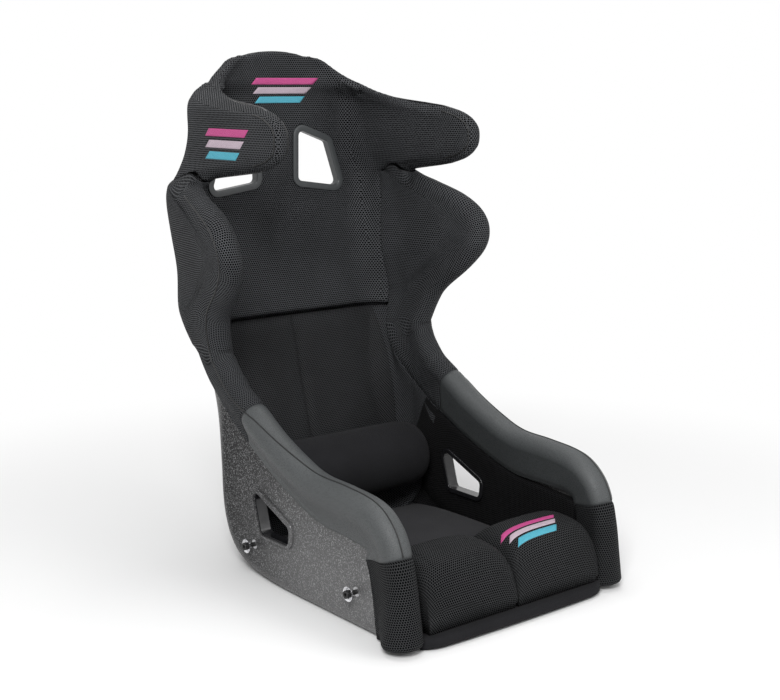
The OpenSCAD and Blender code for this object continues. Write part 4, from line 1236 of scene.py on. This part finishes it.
# %% [markdown]
# ### Hexagonal spacer mesh
# Spacer mesh is a lattice of threads round six-sided holes. A Voronoi texture gives uneven cells, so this
# group folds the cloth into even ones and measures how far a point lies from the wall of its cell. That one
# number gives both the dark holes and the height of the lattice.

# %% Hexagonal spacer mesh
FAR_CELLS = (500.0, 866.0254, 0.0)

def build_hexagons():
    group, inp, out = weave_group("spacer_mesh_cells", 0.0042, ("Lattice", "Hole"))
    scale = math_node(group, "DIVIDE", 1.0, inp.outputs["Pitch"])
    moved = vector_node(group, "ADD", scaled(group, inp.outputs["Cloth"], scale), FAR_CELLS)
    cell, half = (1.0, 1.7320508, 1.0), (0.5, 0.8660254, 0.0)
    first = vector_node(group, "SUBTRACT", vector_node(group, "MODULO", moved, cell), half)
    shifted = vector_node(group, "SUBTRACT", moved, half)
    second = vector_node(group, "SUBTRACT", vector_node(group, "MODULO", shifted, cell), half)
    distances = []
    for place in (first, second):
        flat = vector_node(group, "ABSOLUTE", vector_node(group, "MULTIPLY", place, (1.0, 1.0, 0.0)))
        slanted = vector_node(group, "DOT_PRODUCT", flat, half, "Value")
        distances.append(math_node(group, "MAXIMUM", parts_of(group, flat)[0], slanted))
    near = math_node(group, "MINIMUM", distances[0], distances[1])
    wire(group, out, {"Lattice": smooth(group, near, 0.28, 0.46), "Hole": smooth(group, near, 0.42, 0.28)})
    return group

HEXAGONS = build_hexagons()
print(HEXAGONS.name, len(HEXAGONS.nodes), "nodes")

# %% [markdown]
# ### Ribs, knit, grain and patches
# Ribbed cloth is one wave across the cloth, and knit is two waves multiplied. Leather grain is the net of
# lines between cells. Patches are soft noise: they part worn cloth from fresh cloth, and flecks from plain
# gel coat.

# %% Ribs and knit
def wave_height(tree, wave):
    return math_node(tree, "MULTIPLY_ADD", wave, 0.5, 0.5)

def build_ribs():
    group, inp, out = weave_group("fine_ribs", 0.002, ("Rib",))
    across = math_node(group, "DIVIDE", parts_of(group, inp.outputs["Cloth"])[0], inp.outputs["Pitch"])
    turn = math_node(group, "MULTIPLY", across, 2 * math.pi)
    wire(group, out, {"Rib": wave_height(group, math_node(group, "SINE", turn))})
    return group

def build_knit():
    group, inp, out = weave_group("knit_rows", 0.0012, ("Loop",))
    scale = math_node(group, "DIVIDE", 2 * math.pi, inp.outputs["Pitch"])
    parts = parts_of(group, scaled(group, inp.outputs["Cloth"], scale))
    wave = math_node(group, "MULTIPLY", math_node(group, "SINE", parts[0]), math_node(group, "SINE", parts[1]))
    wire(group, out, {"Loop": wave_height(group, wave)})
    return group

RIBS, KNIT = build_ribs(), build_knit()
print(RIBS.name, KNIT.name)

# %% Patches and grain
def build_patches():
    inputs = [("Place", "NodeSocketVector", None), ("Scale", "NodeSocketFloat", 6.0),
              ("Low", "NodeSocketFloat", 0.4), ("High", "NodeSocketFloat", 0.6)]
    outputs = [("Mask", "NodeSocketFloat"), ("Raw", "NodeSocketFloat")]
    group, inp, out = new_group("uneven_patches", inputs, outputs)
    noise = group.nodes.new("ShaderNodeTexNoise")
    wire(group, noise, {"Vector": inp.outputs["Place"], "Scale": inp.outputs["Scale"]})
    wire(group, noise, {"Detail": 4.0, "Roughness": 0.6})
    wire(group, out, {"Mask": smooth(group, noise.outputs[0], inp.outputs["Low"], inp.outputs["High"]),
                      "Raw": noise.outputs[0]})
    return group

def build_grain():
    inputs = [("Place", "NodeSocketVector", None), ("Scale", "NodeSocketFloat", 700.0)]
    group, inp, out = new_group("leather_grain", inputs, [("Height", "NodeSocketFloat")])
    cells = group.nodes.new("ShaderNodeTexVoronoi")
    cells.feature = "DISTANCE_TO_EDGE"
    wire(group, cells, {"Vector": inp.outputs["Place"], "Scale": inp.outputs["Scale"]})
    wire(group, out, {"Height": smooth(group, cells.outputs["Distance"], 0.0, 0.22)})
    return group

GRAIN, PATCHES = build_grain(), build_patches()
print("groups", [g.name for g in bpy.data.node_groups])

# %% [markdown]
# ## Finishes
# Each material below places the shared groups with its own values and feeds them to one Principled shader.
# The helpers only save typing: they start a material, place a group, blend two colours, and add bump or
# sheen.

# %% Starting a material
def start(name):
    material = bpy.data.materials.new(name)
    material.use_nodes = True
    tree = material.node_tree
    shader = next(n for n in tree.nodes if n.type == "BSDF_PRINCIPLED")
    return material, tree, shader

def place(tree, group, **values):
    node = tree.nodes.new("ShaderNodeGroup")
    node.node_tree = group
    wire(tree, node, values)
    return node.outputs

def cloth(tree):
    node = tree.nodes.new("ShaderNodeUVMap")
    node.uv_map = "cloth"
    return node.outputs[0]

def solid_place(tree):
    return tree.nodes.new("ShaderNodeTexCoord").outputs["Object"]

def blend_colours(tree, share, a, b):
    node = tree.nodes.new("ShaderNodeMix")
    node.data_type = "RGBA"
    tree.links.new(share, node.inputs[0])
    for socket, value in ((node.inputs[6], a), (node.inputs[7], b)):
        if isinstance(value, bpy.types.NodeSocket):
            tree.links.new(value, socket)
        else:
            socket.default_value = tuple(value) + (1,)
    return node.outputs[2]

def bump(tree, shader, height, distance, strength=1.0):
    node = tree.nodes.new("ShaderNodeBump")
    node.inputs["Strength"].default_value = strength
    node.inputs["Distance"].default_value = distance
    tree.links.new(height, node.inputs["Height"])
    tree.links.new(node.outputs[0], shader.inputs["Normal"])

def sheen(shader, weight):
    shader.inputs["Sheen Weight"].default_value = weight
    shader.inputs["Sheen Roughness"].default_value = 0.5

def feed(tree, shader, **sources):
    for socket, source in sources.items():
        tree.links.new(source, shader.inputs[socket.replace("_", " ")])

def shade_of(colour, share):
    return tuple(min(c * share, 1) for c in colour)

print("a third lighter", shade_of((0.3, 0.3, 0.3), 4 / 3))

# %% [markdown]
# ### Cloths
# Black seat cloth isn't black paint. Spacer mesh has a grey thread over a dark gap, and its gaps neither
# shine nor glint. Ribbed and knitted cloth have crests and hollows of one colour, painted darker in the
# hollows as painted shade and lighter on the crests as painted sheen, and all of them wear lighter in patches.

# %% Spacer mesh cloth
def mesh_cloth(name, pitch, thread, hole):
    material, tree, shader = start(name)
    cells = place(tree, HEXAGONS, Cloth=cloth(tree), Pitch=pitch)
    patch = place(tree, PATCHES, Place=solid_place(tree), Scale=9.0, Low=0.35, High=0.65)
    worn = blend_colours(tree, patch["Mask"], thread, shade_of(thread, 1.25))
    feed(tree, shader, Base_Color=blend_colours(tree, cells["Hole"], worn, hole),
         Roughness=smooth(tree, cells["Hole"], 0.0, 1.0, 0.62, 0.95))
    bump(tree, shader, cells["Lattice"], 0.0007, 0.8)
    sheen(shader, 0.01)
    feed(tree, shader, Specular_IOR_Level=smooth(tree, cells["Hole"], 0.0, 1.0, 0.22, 0.0))
    return material

mesh_large = mesh_cloth("spacer_mesh_large", 0.0041, (0.021, 0.022, 0.0235), (0.0004, 0.0004, 0.0005))
mesh_small = mesh_cloth("spacer_mesh_small", 0.0042, (0.050, 0.052, 0.056), (0.0006, 0.0006, 0.0007))
mesh_fine = mesh_cloth("spacer_mesh_fine", 0.0039, (0.030, 0.031, 0.033), (0.0005, 0.0005, 0.0006))
# Painted shade: a much darker copy of the spacer mesh, for the hip linings and the floor padding deep in the
# tub where shade falls.
mesh_painted_shade = mesh_cloth("spacer_mesh_painted_shade", 0.0038, (0.004, 0.004, 0.0045), (0.0004, 0.0004, 0.0005))
print("mesh cloths", [m.name for m in (mesh_large, mesh_small, mesh_fine, mesh_painted_shade)])

# %% Ribbed and knitted cloth
def soft_cloth(name, group, output, pitch, colour, depth):
    material, tree, shader = start(name)
    row = place(tree, group, Cloth=cloth(tree), Pitch=pitch)[output]
    patch = place(tree, PATCHES, Place=solid_place(tree), Scale=12.0, Low=0.3, High=0.7)["Mask"]
    # Painted light: the rows are painted darker in their hollows, as painted shade, and lighter on their
    # crests, as painted sheen; the patches are wear.
    thread = blend_colours(tree, row, shade_of(colour, 0.45), shade_of(colour, 1.35))
    lighter = blend_colours(tree, row, shade_of(colour, 0.5), shade_of(colour, 1.6))
    feed(tree, shader, Base_Color=blend_colours(tree, patch, thread, lighter),
         Roughness=smooth(tree, row, 0.0, 1.0, 0.95, 0.75))
    bump(tree, shader, row, depth, 0.7)
    sheen(shader, 0.02)
    shader.inputs["Specular IOR Level"].default_value = 0.06
    return material

ribbed = soft_cloth("ribbed_cloth", RIBS, "Rib", 0.0032, (0.027, 0.027, 0.029), 0.0006)
knit = soft_cloth("smooth_knit", KNIT, "Loop", 0.0016, (0.0150, 0.0150, 0.0165), 0.0003)
print("soft cloths", ribbed.name, knit.name)

# %% [markdown]
# ### Vinyl, gel coat and hard parts
# Grained vinyl is dark and rough in its fine lines and smoother on its pebbles. Gel coat is a clear skin
# over dark resin with pale flecks, painted paler low down at the front as painted light from the floor and
# darker higher up as painted shade under the rolls. Plastic and metal get fine marks, so that no surface is
# flat.

# %% Grained vinyl
def vinyl_finish():
    material, tree, shader = start("grained_vinyl")
    spot = solid_place(tree)
    grain = place(tree, GRAIN, Place=spot, Scale=620.0)["Height"]
    patch = place(tree, PATCHES, Place=spot, Scale=7.0, Low=0.35, High=0.65)["Mask"]
    base_tone = blend_colours(tree, patch, (0.050, 0.0545, 0.0565), (0.063, 0.068, 0.070))
    feed(tree, shader, Base_Color=blend_colours(tree, grain, (0.032, 0.035, 0.036), base_tone),
         Roughness=smooth(tree, grain, 0.0, 1.0, 0.62, 0.42))
    bump(tree, shader, grain, 0.00025, 0.6)
    return material

vinyl = vinyl_finish()
print(vinyl.name, len(vinyl.node_tree.nodes), "nodes")

# %% Gel coat
def gel_coat_finish():
    material, tree, shader = start("gel_coat")
    spot = solid_place(tree)
    fleck = place(tree, PATCHES, Place=spot, Scale=540.0, Low=0.53, High=0.62)["Mask"]
    parts = parts_of(tree, spot)
    # Painted light: the tub and its flecks are painted paler low down at the front, as light from the floor,
    # and darker higher up, as the shade under the rolls.
    low, front = smooth(tree, parts[2], 0.34, 0.04), smooth(tree, parts[1], 0.20, -0.10)
    painted_light_low_front = math_node(tree, "MULTIPLY", low, front)
    patch = place(tree, PATCHES, Place=spot, Scale=3.0, Low=0.3, High=0.7)["Mask"]
    tone = blend_colours(tree, patch, (0.003, 0.003, 0.0035), (0.007, 0.007, 0.0075))
    tone = blend_colours(tree, painted_light_low_front, tone, (0.110, 0.110, 0.111))
    bright = blend_colours(tree, painted_light_low_front, (0.19, 0.19, 0.195), (0.27, 0.27, 0.275))
    feed(tree, shader, Base_Color=blend_colours(tree, fleck, tone, bright),
         Roughness=smooth(tree, fleck, 0.0, 1.0, 0.38, 0.28), Metallic=smooth(tree, fleck, 0.0, 1.0, 0.0, 0.5))
    shader.inputs["Coat Weight"].default_value = 0.06
    shader.inputs["Specular IOR Level"].default_value = 0.1
    shader.inputs["Coat Roughness"].default_value = 0.12
    bump(tree, shader, place(tree, PATCHES, Place=spot, Scale=40.0, Low=0.2, High=0.8)["Raw"], 0.0004, 0.25)
    return material

gel_coat = gel_coat_finish()
print(gel_coat.name, len(gel_coat.node_tree.nodes), "nodes")

# %% Plastic, steel and tape
def hard_finish(name, colour, roughness, metallic, scale, depth):
    material, tree, shader = start(name)
    spot = solid_place(tree)
    marks = place(tree, PATCHES, Place=spot, Scale=scale, Low=0.35, High=0.65)
    feed(tree, shader, Base_Color=blend_colours(tree, marks["Mask"], colour, shade_of(colour, 1.3)),
         Roughness=smooth(tree, marks["Mask"], 0.0, 1.0, roughness, roughness + 0.1))
    shader.inputs["Metallic"].default_value = metallic
    bump(tree, shader, marks["Raw"], depth, 0.4)
    return material

satin = hard_finish("satin_plastic", (0.036, 0.039, 0.041), 0.36, 0, 900.0, 0.0001)
gloss = hard_finish("gloss_plastic", (0.008, 0.008, 0.009), 0.14, 0, 60.0, 0.00005)
chrome = hard_finish("polished_washer", (0.62, 0.62, 0.64), 0.10, 1, 120.0, 0.00003)
oxide = hard_finish("black_oxide", (0.022, 0.022, 0.022), 0.4, 0.6, 400.0, 0.00005)
steel = hard_finish("plain_steel", (0.42, 0.42, 0.43), 0.35, 1, 500.0, 0.00005)
tape = hard_finish("hook_tape", (0.012, 0.012, 0.012), 0.85, 0, 1400.0, 0.0006)
print(len(bpy.data.materials), "materials so far")

# %% Thread
def thread_finish(name, colour):
    material, tree, shader = start(name)
    row = place(tree, RIBS, Cloth=cloth(tree), Pitch=0.0009)["Rib"]
    feed(tree, shader, Base_Color=blend_colours(tree, row, shade_of(colour, 0.6), colour))
    shader.inputs["Roughness"].default_value = 0.5
    bump(tree, shader, row, 0.0003, 0.8)
    return material

MAGENTA, PALE_PINK, CYAN = (0.62, 0.07, 0.28), (0.62, 0.50, 0.58), (0.08, 0.46, 0.60)
threads = [thread_finish("thread_" + str(i + 1), c) for i, c in enumerate((MAGENTA, PALE_PINK, CYAN))]
print(len(bpy.data.materials), "materials")

# %% [markdown]
# ## Putting the seat together
# Each piece rides on the body that carries it and stands for its plain solid. A table keeps this in one
# place, so that a piece with no body or no material is easy to see.

# %% Dressing the pieces
def dress(piece, material, body, slot, stands_for=(), fill=None):
    piece.data.materials.clear()
    piece.data.materials.append(material)
    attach(piece, body)
    if stands_for:
        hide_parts(*stands_for)

dress(tub, gel_coat, "seat", "gel_coat", ["shell"])
for part, material, slot_name in (("front_post", mesh_large, "mesh_fabric"), ("thigh_bolster", vinyl, "vinyl"),
                                  ("shoulder_bolster", mesh_small, "mesh_fabric")):
    for piece, side in zip(rolls[part], ("_left", "_right")):
        dress(piece, material, "seat", slot_name, [part + side], 0.95)
head_nodes = ["upper_back_pad", "head_pad", "head_wing_left", "head_wing_right"]
dress(panel, mesh_small, "seat", "mesh_fabric", head_nodes, 0.95)
for piece, material, body, slot_name, node, fill in (
        (lower_back, mesh_small, "seat", "mesh_fabric", "lower_back_pad", 0.95),
        (liner, mesh_painted_shade, "seat", "mesh_fabric", "side_liner_right", 0.9),
        (liner_left, mesh_painted_shade, "seat", "mesh_fabric", "side_liner_left", 0.9),
        (pan, mesh_painted_shade, "seat", "mesh_fabric", "pan_foam", 0.9),
        (lip, knit, "seat", "knit_fabric", "front_lip_pad", 0.9),
        (base, ribbed, "base_cushion", "ribbed_fabric", "base_cushion", 0.8),
        (thigh_left, mesh_large, "thigh_cushion_left", "mesh_fabric", "thigh_cushion_left", 0.85),
        (thigh_right, mesh_large, "thigh_cushion_right", "mesh_fabric", "thigh_cushion_right", 0.85),
        (back_cushion, mesh_fine, "back_cushion", "mesh_fabric", "back_cushion", 0.8),
        (lumbar, knit, "lumbar_pillow", "knit_fabric", "lumbar_pillow", 0.9),
        (shoulder_bezel, satin, "seat", "bezel_satin", "shoulder_bezel_right", None),
        (shoulder_bezel_left, satin, "seat", "bezel_satin", "shoulder_bezel_left", None),
        (lap_bezel, gloss, "seat", "bezel_gloss", "lap_bezel_right", None),
        (lap_bezel_left, gloss, "seat", "bezel_gloss", "lap_bezel_left", None)):
    dress(piece, material, body, slot_name, [node], fill)
print("covers dressed")

# %% Thread, bars and carried-over solids
seam_cloth = thread_finish("seam_thread", (0.006, 0.006, 0.006))
for piece in seams:
    dress(piece, seam_cloth, "seat", "mesh_fabric")
for piece, thread in zip(bars[:6], threads * 2):
    dress(piece, thread, "seat", "mesh_fabric")
for piece, thread in zip(bars[6:], threads):
    dress(piece, thread, "thigh_cushion_right", "mesh_fabric")
for name, material in (("side_bolts", oxide), ("cup_washers", chrome), ("mount_insert_left", steel),
                       ("mount_insert_right", steel), ("seat_tape", tape), ("back_tape", tape)):
    nodes[name].data.materials.clear()
    nodes[name].data.materials.append(material)

# %% [markdown]
# ## Stage, lights and camera
# A plain pale floor and large soft lamps show black cloth without hard glare. Floor and world are white to
# the camera and to reflections, and dimmer as light, so that the colours of the seat stay as written.

# %% Floor
FLOOR_HALF_SIZE, FLOOR_Z = 20000, -0.4

def seen_directly(tree):
    """1 for a ray from the camera, from a mirror or through glass, and 0 for light on its way to a surface."""
    path = tree.nodes.new("ShaderNodeLightPath").outputs
    seen = math_node(tree, "ADD", path["Is Camera Ray"], path["Is Glossy Ray"])
    return math_node(tree, "ADD", seen, path["Is Transmission Ray"], clamp=True)

corners = [(FLOOR_HALF_SIZE * a, FLOOR_HALF_SIZE * b, FLOOR_Z) for a, b in ((-1, -1), (1, -1), (1, 1), (-1, 1))]
floor = finish_mesh("floor", corners, [(0, 1, 2, 3)])
floor_paint, floor_tree, floor_shader = start("pale_floor")
floor_shader.inputs["Base Color"].default_value = (0.86, 0.86, 0.86, 1)
floor_shader.inputs["Roughness"].default_value = 0.9
far = vector_node(floor_tree, "LENGTH", solid_place(floor_tree), out="Value")
share = math_node(floor_tree, "MULTIPLY", seen_directly(floor_tree), smooth(floor_tree, far, 0.55, 1.5))
glow = floor_tree.nodes.new("ShaderNodeEmission")
either = floor_tree.nodes.new("ShaderNodeMixShader")
ending = next(n for n in floor_tree.nodes if n.type == "OUTPUT_MATERIAL")
floor_tree.links.new(share, either.inputs[0])
floor_tree.links.new(floor_shader.outputs[0], either.inputs[1])
floor_tree.links.new(glow.outputs[0], either.inputs[2])
floor_tree.links.new(either.outputs[0], ending.inputs[0])
floor.data.materials.append(floor_paint)
print("floor", 2 * FLOOR_HALF_SIZE / 1000, "m wide")

# %% World and lamps
world = bpy.data.worlds.new("studio")
bpy.context.scene.world = world
world.use_nodes = True
sky = world.node_tree
background = next(n for n in sky.nodes if n.type == "BACKGROUND")
background.inputs[0].default_value = (1, 1, 1, 1)
sky.links.new(smooth(sky, seen_directly(sky), 0.0, 1.0, 0.38, 1.0), background.inputs[1])

def lamp(name, place, target, size, power):
    light = bpy.data.lights.new(name, "AREA")
    light.energy, light.size = power, size
    piece = bpy.data.objects.new(name, light)
    piece.location = place
    piece.rotation_euler = (Vector(target) - Vector(place)).to_track_quat("-Z", "Y").to_euler()
    bpy.context.scene.collection.objects.link(piece)

lamp("key", (-2.2, -2.2, 2.5), (0, 0, 0.45), 1.2, 112)
lamp("fill", (1.4, -2.8, 1.9), (0.1, 0, 0.4), 2.0, 24)
lamp("top", (0.2, 0.3, 3.2), (0, 0, 0.5), 2.0, 36)
print(len(bpy.data.lights), "lamps")

# %% Camera
CAMERA_DOWN, CAMERA_TURN = 11.044, -38.902
camera = bpy.data.objects.new("camera", bpy.data.cameras.new("camera"))
camera.location = (-1.4546, -1.8121, 0.8463)
camera.rotation_euler = (math.radians(90 - CAMERA_DOWN), 0, math.radians(CAMERA_TURN))
camera.data.lens, camera.data.sensor_width = 62.69, 36
bpy.context.scene.collection.objects.link(camera)
bpy.context.scene.camera = camera
bpy.context.scene.view_settings.view_transform = "Standard"
print("camera lens", camera.data.lens, "mm")
